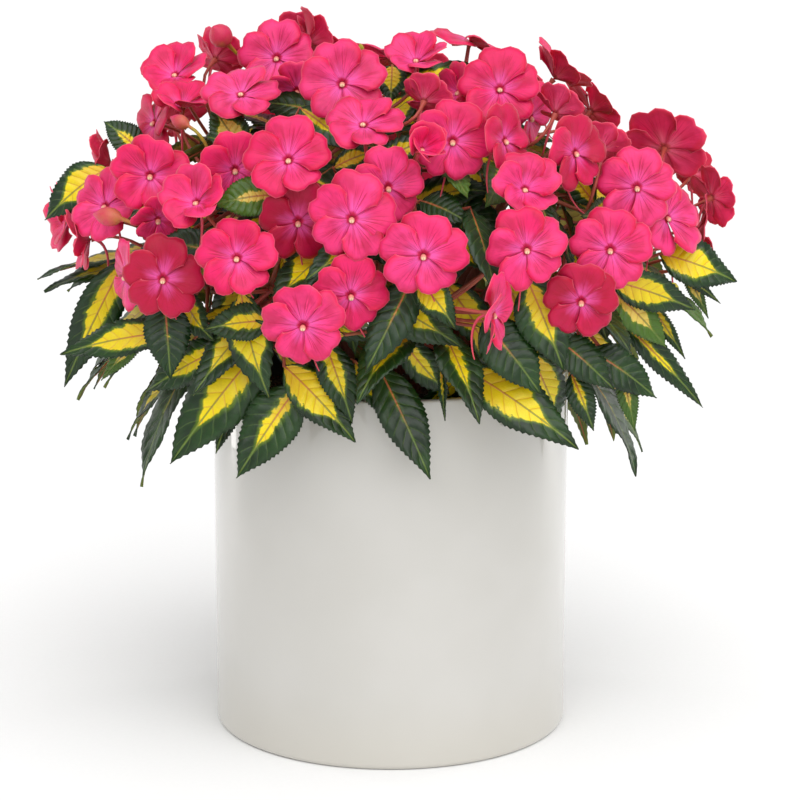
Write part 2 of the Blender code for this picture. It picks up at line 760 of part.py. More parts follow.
def plan_stalks(space, poses, beads):
    """A clear stalk for each flower head: its bead's number and its route."""
    filled = [0] * len(beads)
    stalks = []
    for head, pose in enumerate(poses):
        start = stub_of(pose)
        for number, route in stalk_choices(start, -pose.out, beads):
            if filled[number] == MOST_IN_SPRAY:
                continue
            shape = room([start.lerp(route[0], 0.2)] + route, STALK_RADIUS)
            if space.free(shape, (f"spray {number}",)):
                space.add(f"spray {number}", shape)
                filled[number] += 1
                stalks.append((number, [start] + route))
                break
        else:
            stalks.append(None)
    return stalks


def bud_shape(place, way, length, width, route):
    """A bud and its stalk as one tapering tube, from the bead to the bud's point."""
    path = route[::-1] + [place + way * length * share for share, _ in BUD_OUTLINE]
    return tube(path, [STALK_RADIUS] * len(route) + [girth * width for _, girth in BUD_OUTLINE], BUD_SIDES)


def plan_buds(space, beads):
    """Buds on stalks of their own."""
    buds = []
    for across, up, sink, turn, lift, length, width in BUDS:
        place = sight(across, up, dome_forward(across, up) - sink)
        way = facing(turn, lift)[2]
        for number, route in stalk_choices(place, -way, beads):
            shape = bud_shape(place, way, length * MM, width * MM, [place] + route)
            if space.free(shape, (f"spray {number}",)):
                space.add(f"spray {number}", shape)
                buds.append((number, shape))
                break
    return buds


def make_sprays(space, stems):
    """The flowers, in one object for each bead that bears any."""
    beads = plan_beads(stems)
    for number, bead in enumerate(beads):
        space.add(f"spray {number}", bead_shape(bead))
    poses = plan_heads(space)
    stalks = plan_stalks(space, poses, beads)
    buds = plan_buds(space, beads)
    pink = finish("petals", *PETAL_PINK)
    made = 0
    for number, bead in enumerate(beads):
        shapes = [bud for place, bud in buds if place == number]
        for pose, stalk in zip(poses, stalks):
            if stalk and stalk[0] == number:
                shapes.append(head_shape(pose, stalk[1]))
        if not shapes:
            continue
        made += 1
        if len(shapes) > 1:
            shapes.insert(0, bead_shape(bead))
        fused(f"flower_spray_{made:02d}", shapes, pink)


def bead_shape(centre):
    """The small joint where the stalks of a spray meet."""
    half = Vector((0, 0, 0.74 * BEAD_RADIUS))
    return tube([centre - half, centre + half], [0.9 * BEAD_RADIUS] * 2, BEAD_SIDES)


def blade_width(share):
    """Half the width of a blade, as a share of its greatest half width."""
    return 3.843 * share**0.8 * (1 - share) ** 1.2


def blade_point(blade, share, across, rise=0.0):
    """A point of a leaf blade: share of its length, metres to the right, metres off its middle surface."""
    way = curve_way(blade.base, blade.bend, blade.tip, share)
    side = way.cross(blade.face).normalized()
    normal = side.cross(way)
    turn = math.radians(blade.roll)
    right = side * math.cos(turn) - normal * math.sin(turn)
    normal = normal * math.cos(turn) + side * math.sin(turn)
    fold = 0.22 * abs(across) - 0.30 * across**2 / blade.width
    return curve_point(blade.base, blade.bend, blade.tip, share) + right * across + normal * (rise + fold)


def grow_blade(shape, blade, ring):
    """A toothed blade whose base is the ring of three corners: right, below, left."""
    rows, ribs = LARGE_ROWS if blade.fine else SMALL_ROWS
    sides = []
    for sign in (1, -1):
        side = []
        for i, share in enumerate(rows):
            tooth = 1 + TOOTH if i % 2 else 1 - TOOTH
            half = 0.5 * blade.width * blade_width(share) * tooth
            side.append(shape.corner(blade_point(blade, share, sign * half)))
        sides.append(side)
    tip = shape.corner(blade.tip)
    half = BLADE_THICKNESS / 2
    over = [shape.corner(blade_point(blade, share, 0, half)) for share in ribs]
    under = [shape.corner(blade_point(blade, share, 0, -half)) for share in ribs]
    right, below, left = ring
    shape.faces += [(left, right, over[0]), (right, below, under[0]), (below, left, under[0])]
    for root, side, sign in ((right, sides[0], 1), (left, sides[1], -1)):
        chain = [root] + side + [tip]
        places = [0.0, *rows, 1.0]
        rib = 0
        for i in range(len(chain) - 1):
            while rib + 1 < len(ribs) and places[i] > (ribs[rib] + ribs[rib + 1]) / 2 - 0.06:
                add_sided(shape, (chain[i], over[rib + 1], over[rib]), sign)
                add_sided(shape, (chain[i], under[rib + 1], under[rib]), -sign)
                rib += 1
            add_sided(shape, (chain[i], chain[i + 1], over[rib]), sign)
            add_sided(shape, (chain[i], chain[i + 1], under[rib]), -sign)


def add_sided(shape, face, sign):
    shape.faces.append(face if sign > 0 else face[::-1])


def blade_ring(blade):
    """The places of the three corners where a blade meets its petiole."""
    half = 0.87 * PETIOLE_RADIUS
    return (
        blade_point(blade, 0, half, 0.5 * PETIOLE_RADIUS),
        blade_point(blade, 0, 0, -PETIOLE_RADIUS),
        blade_point(blade, 0, -half, 0.5 * PETIOLE_RADIUS),
    )


def leaf_shape(blade, petiole):
    """A leaf as one closed skin, from its petiole's end in the stem to its tip."""
    shape = Shape()
    ring = [shape.corner(place) for place in blade_ring(blade)]
    grow_blade(shape, blade, ring)
    back = ring[::-1]
    shape.grow(back, petiole[::-1], [PETIOLE_RADIUS] * len(petiole))
    return shape


def petiole_choices(blade, stems):
    """Straight petioles to try, from the nearest places on the stems to the blade's base."""
    places = [(number, share / 20) for number in range(len(stems)) for share in range(5, 20)]
    reach = {place: (stem_point(stems[place[0]], place[1]) - blade.base).length for place in places}
    way = curve_way(blade.base, blade.bend, blade.tip, 0)
    tries = 0
    for place in sorted(places, key=lambda key: reach[key]):
        start = stem_point(stems[place[0]], place[1])
        if reach[place] > PETIOLE_REACH or tries == PETIOLE_TRIES:
            return
        if (blade.base - start).dot(way) > PETIOLE_TURN * reach[place]:
            tries += 1
            yield place[0], [start, blade.base]


def leaf_choices(leaf):
    """Blades to try for a leaf in the table, at growing steps along the line of sight."""
    x0, z0, f0, x1, z1, f1, width, arch, roll = leaf
    for turn in (0, 20, -20, 40, -40):
        for step in (0, -6, 6, -12, 12, -20, 20, -30, 30):
            base = sight(x0, z0, f0 + step)
            tip = sight(x1, z1, f1 + step)
            face = (EYE - base).normalized() + Vector((0, 0, 0.5))
            bend = (base + tip) / 2 + face * arch * MM
            fine = (tip - base).length > LARGE_LEAF
            yield Blade(base, bend, tip, face, width * MM, roll + turn, fine)


def tip_leaf_choices(stem, number, i):
    """Leaves to try round the tip of a stem, each with its petiole."""
    draw = random.Random(LEAF_SEED + 10 * number + i)
    share = 0.93 - 0.05 * i
    start = stem_point(stem, share)
    axis = stem_way(stem, share)
    first = axis.orthogonal().normalized()
    second = axis.cross(first)
    turn = i * GOLDEN_TURN + draw.uniform(0, math.tau / 8) + number
    pitch = draw.uniform(*LEAF_PITCH)
    droop = draw.uniform(*LEAF_DROOP)
    length = draw.uniform(*LEAF_LENGTHS)
    roll = draw.uniform(-15, 15)
    for size in (1, 0.84, 0.68):
        for lean in (0, 14, -14, 28):
            for swing in (0, 0.25, -0.25, 0.5, -0.5):
                out = first * math.cos(turn + swing) + second * math.sin(turn + swing)
                tilt = math.radians(pitch + lean)
                leave = axis * math.cos(tilt) + out * math.sin(tilt)
                reach = length * size
                base = start + leave * reach * PETIOLE_SHARE
                bend = start + leave * reach * 0.6
                tip = start + leave * reach * 0.95 - Vector((0, 0, droop * reach))
                face = Vector((base.x, base.y, 0)).normalized() * 0.5 + Vector((0, 0, 1))
                yield Blade(base, bend, tip, face, reach * LEAF_WIDTH_SHARE, roll, False), [start, base]


def tier_leaf_choices(tier, i):
    """Blades to try for one leaf of a tier, swung aside and moved in or out in turn."""
    count, base_radius, base_height, tip_radius, tip_height, width = TIERS[tier]
    draw = random.Random(TIER_SEED + 100 * tier + i)
    span = 360 - 2 * TIER_START
    turn = math.radians(TIER_START + span * (i + 0.5 + draw.uniform(-0.2, 0.2)) / count)
    heights = (base_height + draw.uniform(-9, 9), tip_height + draw.uniform(-22, 22))
    radii = (base_radius + draw.uniform(-6, 6), tip_radius + draw.uniform(-14, 14))
    swing = draw.uniform(-0.22, 0.22)
    roll = draw.uniform(-25, 25)
    for step in (0, 8, -8, 16):
        for shift in (0, 0.08, -0.08, 0.16, -0.16, 0.24):
            places = []
            for angle, radius, height in zip((turn + shift, turn + shift + swing), radii, heights):
                out = Vector((math.sin(angle), -math.cos(angle), 0))
                places.append((out * (radius + step) + Vector((0, 0, height))) * MM)
            base, tip = places
            face = Vector((base.x, base.y, 0)).normalized() + Vector((0, 0, 0.6))
            bend = (base + tip) / 2 + face * ARCH
            yield Blade(base, bend, tip, face, width * MM, roll, False)


def place_leaf(space, blade, petiole, stem):
    """Whether a leaf has room, which it then takes."""
    shape = Shape()
    ring = [shape.corner(place) for place in blade_ring(blade)]
    grow_blade(shape, blade, ring)
    shape.fan(ring[::-1])
    stalk = room(petiole, PETIOLE_RADIUS)
    if not space.free(stalk, (f"stem {stem}",)) or not space.free(shape):
        return False
    space.add(f"blade {stem}", shape)
    space.add(f"stem {stem}", stalk)
    return True


def plan_leaves(space, stems):
    """Leaves for each stem: the table's first, then the tiers', then those round the tips."""
    leaves = [[] for _ in stems]
    for leaf in LEAVES:
        place_blade(space, stems, leaf_choices(leaf), leaves)
    for tier, (count, *_) in enumerate(TIERS):
        for i in range(count):
            place_blade(space, stems, tier_leaf_choices(tier, i), leaves)
    wanted = [tips for tips, (count, *_) in zip(TIP_LEAVES, STEM_RINGS) for _ in range(count)]
    for i in range(max(wanted)):
        for number, stem in enumerate(stems):
            for leaf in tip_leaf_choices(stem, number, i):
                if i < wanted[number] and place_leaf(space, *leaf, number):
                    leaves[number].append(leaf)
                    break
    return leaves


def place_blade(space, stems, blades, leaves):
    """Takes the first blade that has room and a clear petiole."""
    for blade in blades:
        for number, petiole in petiole_choices(blade, stems):
            if place_leaf(space, blade, petiole, number):
                leaves[number].append((blade, petiole))
                return


def make_stems(space, stems):
    """Each stem with its leaves fused to it."""
    green = finish("leaves and stems", *LEAF_GREEN)
    for number, leaves in enumerate(plan_leaves(space, stems)):
        shapes = [stem_shape(stems[number])] + [leaf_shape(*leaf) for leaf in leaves]
        fused(f"leafy_stem_{number + 1:02d}", shapes, green)


def taken_by(thing):
    """An object's skin as a shape."""
    shape = Shape()
    shape.points = [vertex.co.copy() for vertex in thing.data.vertices]
    thing.data.calc_loop_triangles()
    shape.faces = [tuple(triangle.vertices) for triangle in thing.data.loop_triangles]
    return shape


def main():
    clear_scene()
    stems = plan_stems()
    space = Space()
    space.add("pot", taken_by(make_pot()))
    space.add("pot", taken_by(make_liner()))
    space.add("soil", taken_by(make_soil(stems)))
    for number, stem in enumerate(stems):
        space.add(f"stem {number}", stem_shape(stem))
    make_sprays(space, stems)
    make_stems(space, stems)


main()
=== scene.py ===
import math
import random
from itertools import product
from typing import NamedTuple

import bpy
import numpy as np
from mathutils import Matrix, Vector
from mathutils.bvhtree import BVHTree
from mathutils.kdtree import KDTree


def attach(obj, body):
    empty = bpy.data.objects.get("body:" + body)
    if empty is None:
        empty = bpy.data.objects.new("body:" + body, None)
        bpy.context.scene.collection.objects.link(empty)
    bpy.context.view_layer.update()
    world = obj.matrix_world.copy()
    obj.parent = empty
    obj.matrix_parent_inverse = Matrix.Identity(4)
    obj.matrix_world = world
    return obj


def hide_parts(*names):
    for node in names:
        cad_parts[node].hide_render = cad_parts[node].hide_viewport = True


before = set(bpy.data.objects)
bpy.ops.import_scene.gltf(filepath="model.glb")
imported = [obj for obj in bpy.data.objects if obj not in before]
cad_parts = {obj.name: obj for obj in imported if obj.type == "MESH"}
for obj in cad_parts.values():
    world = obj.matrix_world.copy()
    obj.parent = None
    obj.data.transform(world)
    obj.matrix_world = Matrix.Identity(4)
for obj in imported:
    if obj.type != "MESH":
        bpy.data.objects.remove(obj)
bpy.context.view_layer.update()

MM = 0.001
UP = Vector((0, 0, 1))
WELD = 0.01 * MM

# Sizes of the pots and the soil
POT_RADIUS = 120 * MM
POT_HEIGHT = 248 * MM
POT_WALL = 6 * MM
POT_FLOOR = 9 * MM
POT_FOOT_ROUND = 3.5 * MM
POT_RIM_ROUND = 1.5 * MM
FOOT_HOLLOW = 1.2 * MM
INNER_ROUND = 5 * MM
FLAT = 2 * MM
LINER_TOP = 242 * MM
LINER_LIP_RADIUS = 111.5 * MM
LINER_LIP_DROP = 9 * MM
LINER_TOP_RADIUS = 107 * MM
LINER_FOOT_RADIUS = 86 * MM
LINER_WALL = 1.6 * MM
LINER_LIP_ROUND = 0.8 * MM
FIT_GAP = 0.3 * MM
SOIL_TOP = 225 * MM
SOIL_CROWN = 4 * MM
SOIL_RINGS = 28
HOLE_DEPTH = 16 * MM

# The eye that the tables are read from, and the rounded outline that the flowers lie on
EYE = Vector((0, -1901.7, 660.5)) * MM
EYE_PITCH = 0.22685
DOME_CENTRE = Vector((0, 0, 320)) * MM
DOME_RADII = Vector((205, 185, 140)) * MM
GOLDEN_TURN = math.radians(137.5)

# Stems: count, lift in degrees and distance of the roots from the middle, ring by ring
STEM_RINGS = ((9, -4, 62), (6, 32, 40), (3, 64, 16))
STEM_REACH = 0.66
STEM_TURN_PLAY = 0.12
STEM_LIFT_PLAY = 4
STEM_SPLAY = 1.25
STEM_BEND_RISE = 12 * MM
STEM_FOOT_RADIUS = 4.6 * MM
STEM_TIP_RADIUS = 2.4 * MM
STEM_SEED = 11
STEM_WHORLS = (0.60, 1.0)
WHORL_RISE = 60 * MM
STEM_JOINTS = (0.3, 0.5, 0.66, 0.8, 0.9)

# Flower heads as the solids have them: petal corners along and across, and shares of both
HUB_HALF = 0.9 * MM
PETALS = 5
PETAL_CORNERS = ((0.82, 0.48), (0.82, -0.48), (0.98, 0))
PETAL_SHARES = ((1.0, 1.16), (0.97, 1.0), (0.93, 0.94), (0.93, 0.94), (0.97, 1.0))

# Forms of flower: cup in degrees, bend, curl, twist in degrees, breadth
FORMS = {
    "flat": (5, 0.10, 0.05, 6, 1.0),
    "open": (18, 0.16, 0.10, 7, 0.98),
    "cup": (36, 0.12, 0.35, 9, 0.82),
    "deep": (56, 0.06, 0.70, 12, 0.55),
}
FLOWER_SIZES = (1, 0.92, 0.84)
FLOWER_SHIFTS = (0, -6, 6, -12, 12, -18, 18, -26, 26, -34, 34)

# Flower stalks, and the joints where they gather
STUB = 7 * MM
STALK_RADIUS = 1.1 * MM
STALK_CORNERS = 3
STALK_MARK = 0.42
STALK_REACH = 150 * MM
STALK_LEAVE = 0.35
STALK_ARRIVE = 0.3
STALK_JOINTS = 9
STALK_SWING = 9 * MM
STALK_SWINGS = ((0, 0), (1, 0), (-1, 0), (0, 1), (0, -1), (2, 0), (-2, 0), (0, 2), (0, -2))
BEAD_RADIUS = 2.2 * MM
BEAD_GAP = 0.7 * MM

# Leaves as the solids have them
PETIOLE_SHARE = 0.2
PETIOLE_REACH = 95 * MM
PETIOLE_TURN = 0.25
TOOTH = 0.07
ROWS = ((0.08, 0.20, 0.34, 0.48, 0.62, 0.76, 0.89), (0.12, 0.30, 0.50, 0.70, 0.87))
LARGE_LEAF = 70 * MM
ARCH = 12 * MM

# A blade's outline rises and falls by these powers, and its halves fold up by these shares
BLADE_PEAK = 3.843
BLADE_RISE = 0.8
BLADE_FALL = 1.2
FOLD = 0.22
FOLD_EASE = 0.30
VEINS = 9.0
VEIN_SLANT = 0.17

# Flowers seen from the front:
# across, up, sink below the dome, turn, lift, roll (degrees), width, form
FLOWERS = (
    (-59, 273, 0, -5, -4, -14, 62, "flat"),
    (-153, 305, 0, 0, 2, 8, 60, "flat"),
    (-26, 346, 0, 0, 8, 12, 66, "flat"),
    (22, 321, 0, 0, 5, 8, 64, "flat"),
    (147, 325, 0, 0, 5, 6, 62, "flat"),
    (91, 325, 0, 8, 8, -10, 60, "flat"),
    (-103, 319, 0, -5, 20, 2, 60, "open"),
    (164, 367, 0, 5, 8, 5, 60, "flat"),
    (41, 398, 0, 5, 5, 12, 60, "flat"),
    (-68, 385, 0, 0, 28, 0, 62, "open"),
    (-160, 375, 0, -5, 5, 10, 58, "open"),
    (-129, 356, 0, -25, 38, -10, 56, "cup"),
    (-190, 354, 0, -32, 22, 10, 56, "open"),
    (-32, 436, 0, 0, 22, -12, 62, "open"),
    (72, 432, 0, 5, 32, 5, 60, "open"),
    (-75, 453, 0, -10, 20, 0, 58, "open"),
    (-27, 294, 8, 12, -8, 8, 58, "flat"),
    (68, 281, 0, 72, -6, 0, 60, "open"),
    (128, 290, 10, 5, -12, 0, 58, "flat"),
    (184, 346, 4, 40, 25, 0, 62, "open"),
    (-99, 428, 0, -5, 58, 0, 58, "open"),
    (-18, 408, 0, -10, 55, 10, 58, "open"),
    (-2, 367, 10, 15, 0, 0, 58, "flat"),
    (75, 398, 4, 48, 15, 0, 54, "open"),
    (89, 365, 6, 15, 35, 0, 56, "cup"),
    (122, 390, 0, 42, 12, 0, 56, "open"),
    (-142, 441, 0, -20, 50, 0, 54, "cup"),
    (17, 450, 0, -10, 62, 0, 50, "cup"),
    (20, 392, 4, 20, 28, 10, 46, "deep"),
    (-156, 410, 6, -60, 18, 0, 54, "open"),
    (-138, 420, 6, 15, 70, 20, 50, "cup"),
    (-186, 384, 0, -82, 5, 0, 50, "cup"),
    (-201, 332, 0, -80, -8, 0, 52, "cup"),
    (-62, 344, 22, 5, -10, 0, 60, "flat"),
    (-177, 307, 14, -60, 0, 0, 54, "flat"),
    (-104, 379, 16, 15, -5, 0, 56, "open"),
    (182, 393, 0, 165, 25, 20, 62, "open"),
    (201, 376, 14, 170, 0, 0, 44, "deep"),
    (214, 360, 0, 125, 15, 0, 48, "open"),
    (205, 337, 8, 95, 0, 0, 56, "open"),
    (140, 391, 10, 170, 40, 0, 46, "cup"),
    (109, 416, 10, 150, 40, 0, 44, "cup"),
    (22, 424, 10, 160, 30, 0, 42, "cup"),
    (-54, 463, 0, 115, 30, 0, 54, "cup"),
    (-62, 463, 16, 180, 20, 0, 48, "open"),
    (-116, 452, 10, 150, 30, 0, 48, "cup"),
    (-62, 432, 22, 0, -25, 0, 46, "flat"),
    (46, 430, 12, -50, 25, 0, 44, "cup"),
    (92, 414, 16, 55, -10, 0, 48, "open"),
    (-156, 346, 16, 25, -25, 0, 40, "open"),
)

# Which of these are crimson, partly their own deeper tone and partly painted shade on flowers that lie
# in shade behind others, and which are a clear pink
CRIMSON = (1, 18, 33, 37, 39)
PINK = (2, 3, 4, 5, 7, 8, 13, 15, 21)
TONES = (0.0, 0.15, 0.3, 0.45, 0.8)
CRIMSON_TONE = 0.95
PINK_SHARE = 0.35
PETAL_SEED = 3

# Flowers on the far side
FILL_TRIES = 90
FILL_DEPTH = 1.35
FILL_WIDTHS = (54 * MM, 63 * MM)
FILL_FORMS = ("flat", "open", "open", "cup")
FILL_SHIFTS = (0, -8, 8, -16, 16, -24)
FILL_SEED = 5
SPUR_SEED = 17

# Buds: across, up, sink, turn, lift, length, width
BUDS = (
    (-108, 463, 4, -35, 40, 19, 15),
    (-134, 408, 4, -120, 20, 15, 9),
    (-180, 346, 0, -110, 5, 20, 12),
    (186, 300, 10, 60, -20, 9, 8),
    (-19, 457, 6, -20, 60, 7, 4),
)
GREEN_BUD_WIDTH = 8.5 * MM
BUD_OUTLINE = ((0.0, 0.12), (0.12, 0.36), (0.3, 0.5), (0.5, 0.53), (0.7, 0.42), (0.88, 0.2), (1.0, 0.03))

# Leaves seen from the front: across, up and forward at the base and at the tip, width, arch, roll
LEAVES = (
    (-84, 262, 118, -150, 177, 122, 44, 10, 0),
    (-8, 244, 120, 27, 166, 146, 30, 8, 0),
    (50, 243, 122, 128, 187, 140, 36, 10, 0),
    (-62, 232, 134, -105, 167, 142, 36, 6, 0),
    (62, 276, 132, 102, 225, 140, 34, 8, 0),
    (92, 304, 138, 117, 242, 150, 36, 6, 0),
    (-12, 292, 140, 48, 258, 152, 32, 8, 0),
    (-178, 318, 40, -221, 231, 34, 30, 12, -20),
    (-148, 268, 100, -223, 253, 74, 26, 10, 0),
    (-152, 290, 108, -149, 236, 116, 30, 6, 0),
    (-112, 258, 112, -166, 227, 94, 28, 8, 0),
    (-80, 276, 136, -126, 270, 134, 26, 6, 0),
    (-165, 333, 66, -212, 312, 56, 30, 8, 0),
    (-110, 320, 108, -158, 331, 106, 26, 6, 0),
    (-72, 245, 126, -24, 192, 138, 30, 8, 0),
    (-45, 262, 128, -26, 205, 142, 24, 8, 0),
    (18, 302, 146, 44, 270, 158, 22, 14, 30),
    (112, 264, 124, 152, 228, 126, 26, 6, 0),
    (134, 256, 108, 180, 223, 100, 28, 8, 0),
    (148, 304, 98, 205, 284, 82, 26, 6, 40),
    (180, 322, 68, 232, 303, 56, 34, 8, 0),
    (155, 276, 80, 212, 216, 62, 18, 10, 0),
    (150, 296, 88, 186, 258, 80, 26, 8, 0),
    (191, 332, 52, 150, 306, 90, 28, 6, 0),
    (-188, 380, 0, -231, 345, 2, 30, 12, 0),
    (-74, 362, 122, -118, 355, 124, 28, 6, 0),
    (-165, 390, 20, -190, 411, 14, 22, 4, 0),
    (-98, 390, 66, -119, 421, 56, 26, 4, 0),
    (136, 356, 78, 110, 386, 92, 22, 6, 0),
    (-60, 420, 62, -24, 390, 90, 24, 6, 0),
    (20, 358, 118, 52, 343, 132, 22, 6, 0),
    (1, 448, 24, 0, 423, 40, 20, 6, 0),
    (-165, 268, 70, -196, 235, 62, 14, 6, 0),
    (-100, 240, 112, -119, 184, 122, 18, 6, 0),
    (-24, 248, 120, 0, 207, 134, 20, 6, 0),
    (34, 248, 122, 37, 207, 136, 10, 4, 60),
    (122, 240, 112, 138, 200, 120, 18, 6, 0),
    (156, 242, 100, 166, 200, 102, 14, 6, 0),
    (182, 318, 40, 222, 288, 32, 10, 6, 0),
    (196, 312, 36, 214, 278, 30, 10, 6, 0),
    (205, 340, 18, 248, 334, 10, 11, 8, 60),
    (172, 290, 50, 199, 250, 42, 11, 6, 0),
    (-38, 380, 112, -6, 392, 110, 16, 6, 0),
)
LEAF_TURNS = (0, 20, -20, 40, -40)
LEAF_SHIFTS = (0, -6, 6, -12, 12, -20, 20, -30, 30)

# Leaves round the tip of each stem, by rule
TIP_LEAVES = 4
TIP_SIZES = (1, 0.84, 0.68)
TIP_LEANS = (0, 14, -14, 28)
TIP_SWINGS = (0, 0.25, -0.25, 0.5, -0.5)
BEND_SHARE = 0.6
TIP_SHARE = 0.95
LEAF_LENGTHS = (78 * MM, 100 * MM)
LEAF_WIDTH_SHARE = 0.36
LEAF_PITCH = (52, 74)
LEAF_DROOP = (0.10, 0.30)
LEAF_SEED = 23
LEAF_LOOK_SEED = 8
PALE_SHARES = (1.1, 1.0, 0.9, 0.7, 0.5, 0.1)

# Leaves that hang round the sides and the far side:
# count, distance and height of the base, distance and height of the tip, width
TIERS = (
    (15, 118, 268, 166, 192, 38),
    (14, 134, 296, 200, 236, 36),
    (13, 146, 328, 224, 288, 34),
)
TIER_START = 66
TIER_STEPS = (0, 8, -8, 16)
TIER_SHIFTS = (0, 0.08, -0.08, 0.16, -0.16, 0.24)
TIER_SEED = 41

# Young leaves inside the dome, by rule
YOUNG_LEAVES = 190
YOUNG_DEPTH = 1.55
YOUNG_LENGTHS = (46 * MM, 78 * MM)
YOUNG_DEPTHS = (0.80, 0.68, 0.56)
YOUNG_SIZES = (1, 0.75)
YOUNG_SWINGS = (0, 0.5, -0.5, 1.0, -1.0)
YOUNG_WIDTH_SHARE = 0.42
YOUNG_RISE = 0.15
YOUNG_ARCH = 0.12
YOUNG_SEED = 67

# How near a solid's corner has to be for a flower or leaf to count as found there
MATCH = 0.05 * MM
FOUND_SHARE = 0.6


class Stem(NamedTuple):
    """A stem's route as three points of a curve."""

    root: Vector
    bend: Vector
    tip: Vector


class Pose(NamedTuple):
    """Where a flower head is, which way it faces and how its petals stand."""

    centre: Vector
    right: Vector
    up: Vector
    out: Vector
    length: float
    roll: float
    form: str


class Blade(NamedTuple):
    """A leaf blade's curve from base to tip, the way its upper face looks, its width and roll."""

    base: Vector
    bend: Vector
    tip: Vector
    face: Vector
    width: float
    roll: float
    fine: bool


# Places and directions


def stretched(way):
    """A step from the dome's middle to its outline, from one on a round ball."""
    return Vector([a * b for a, b in zip(way, DOME_RADII)])


def shrunk(way):
    return Vector([a / b for a, b in zip(way, DOME_RADII)])


def dome_spot(number, count, depth):
    """One of many places spread over the dome from the top down, and the way out of it there."""
    height = 1 - depth * (number + 0.5) / count
    turn = number * GOLDEN_TURN
    spread = math.sqrt(max(1 - height * height, 0))
    way = Vector((math.sin(turn) * spread, math.cos(turn) * spread, height))
    return way, shrunk(way).normalized()


def sight(across, up, forward):
    """The point that the eye sees at this place on the upright plane, this far in front of it."""
    seen = Vector((across * MM, 0, up * MM))
    share = (-forward * MM - EYE.y) / (seen.y - EYE.y)
    return EYE + (seen - EYE) * share


def dome_forward(across, up):
    """How far in front of the plane the line of sight meets or nears the dome, in mm."""
    way = Vector((across * MM, 0, up * MM)) - EYE
    start = shrunk(EYE - DOME_CENTRE)
    slope = shrunk(way)
    middle = -start.dot(slope) / slope.dot(slope)
    depth = middle * middle - (start.dot(start) - 1) / slope.dot(slope)
    share = middle - math.sqrt(max(depth, 0))
    return -(EYE.y + way.y * share) / MM


def facing(turn, lift):
    """Right, up and outward directions of what faces the viewer, turned and lifted by degrees."""
    turn = math.radians(turn)
    lift = math.radians(lift)
    ahead = (math.sin(turn), -math.cos(turn))
    right = Vector((math.cos(turn), math.sin(turn), 0))
    up = Vector((-ahead[0] * math.sin(lift), -ahead[1] * math.sin(lift), math.cos(lift)))
    out = Vector((ahead[0] * math.cos(lift), ahead[1] * math.cos(lift), math.sin(lift)))
    return right, up, out


def curve_point(first, bend, last, share):
    return first * (1 - share) ** 2 + bend * 2 * share * (1 - share) + last * share**2


def curve_way(first, bend, last, share):
    return ((bend - first) * (1 - share) + (last - bend) * share).normalized()


def cubic_point(first, leave, arrive, last, share):
    rest = 1 - share
    return (
        first * rest**3 + leave * 3 * rest**2 * share + arrive * 3 * rest * share**2 + last * share**3
    )


# The plan of stems, flowers and leaves


def plan_stems():
    """Stems that fan out from the soil, ring by ring."""
    draw = random.Random(STEM_SEED)
    stems = []
    for ring, (count, lift, root_radius) in enumerate(STEM_RINGS):
        for i in range(count):
            play = draw.uniform(-STEM_TURN_PLAY, STEM_TURN_PLAY)
            turn = math.tau * (i + 0.5 * ring + play) / count
            height = math.radians(lift + draw.uniform(-STEM_LIFT_PLAY, STEM_LIFT_PLAY))
            ways = (math.cos(turn), math.sin(turn))
            root = Vector((*(way * root_radius * MM for way in ways), SOIL_TOP - HOLE_DEPTH))
            spread = (math.cos(height) * ways[0], math.cos(height) * ways[1], math.sin(height))
            tip = DOME_CENTRE + stretched(spread) * STEM_REACH
            rise = root.z * 0.4 + tip.z * 0.6 + STEM_BEND_RISE
            bend = Vector((root.x * STEM_SPLAY, root.y * STEM_SPLAY, rise))
            stems.append(Stem(root, bend, tip))
    return stems


def stem_collar(stem):
    return stem.root + Vector((0, 0, HOLE_DEPTH + SOIL_CROWN))


def stem_point(stem, share):
    return curve_point(stem_collar(stem), stem.bend, stem.tip, share)


def stem_way(stem, share):
    return curve_way(stem_collar(stem), stem.bend, stem.tip, share)


def stem_radius(share):
    return STEM_FOOT_RADIUS + (STEM_TIP_RADIUS - STEM_FOOT_RADIUS) * share


def plan_whorls(stems):
    """The joints where flower stalks gather: one beside each stem and one just past its tip."""
    beads = []
    for stem in stems:
        for share in STEM_WHORLS:
            place = stem_point(stem, share)
            way = stem_way(stem, share)
            if share == 1:
                beads.append(place + way * (BEAD_RADIUS + BEAD_GAP))
            else:
                away = place - DOME_CENTRE + UP * WHORL_RISE
                out = (away - way * away.dot(way)).normalized()
                beads.append(place + out * (stem_radius(share) + BEAD_RADIUS + BEAD_GAP))
    return beads


def petal_ways(pose, number):
    """A petal's outward and sideways directions in the plane of its flower."""
    turn = math.radians(90 - pose.roll + 360 * number / PETALS)
    outward = pose.right * math.cos(turn) + pose.up * math.sin(turn)
    side = pose.right * math.sin(turn) - pose.up * math.cos(turn)
    return outward, side


def petal_point(pose, number, along, across):
    """A point of a solid's petal, in petal lengths along and across it."""
    cup, bend, curl, twist, breadth = FORMS[pose.form]
    long_share, wide_share = PETAL_SHARES[number]
    along = along * long_share
    across = across * wide_share * breadth
    outward, side = petal_ways(pose, number)
    rise = curl * across**2 - bend * along**2 + math.tan(math.radians(twist)) * across
    cup = math.radians(cup)
    radial = along * math.cos(cup) - rise * math.sin(cup)
    height = along * math.sin(cup) + rise * math.cos(cup)
    return pose.centre + (side * across + outward * radial + pose.out * height) * pose.length


def flower_choices(flower):
    across, up, sink, turn, lift, roll, width, form = flower
    forward = dome_forward(across, up) - sink
    plane = (sight(across, up, 0) - EYE).length
    for smaller, shift in product(FLOWER_SIZES, FLOWER_SHIFTS):
        centre = sight(across, up, forward + shift)
        length = 0.5 * width * MM * smaller * (centre - EYE).length / plane
        yield Pose(centre, *facing(turn, lift), length, roll, form)


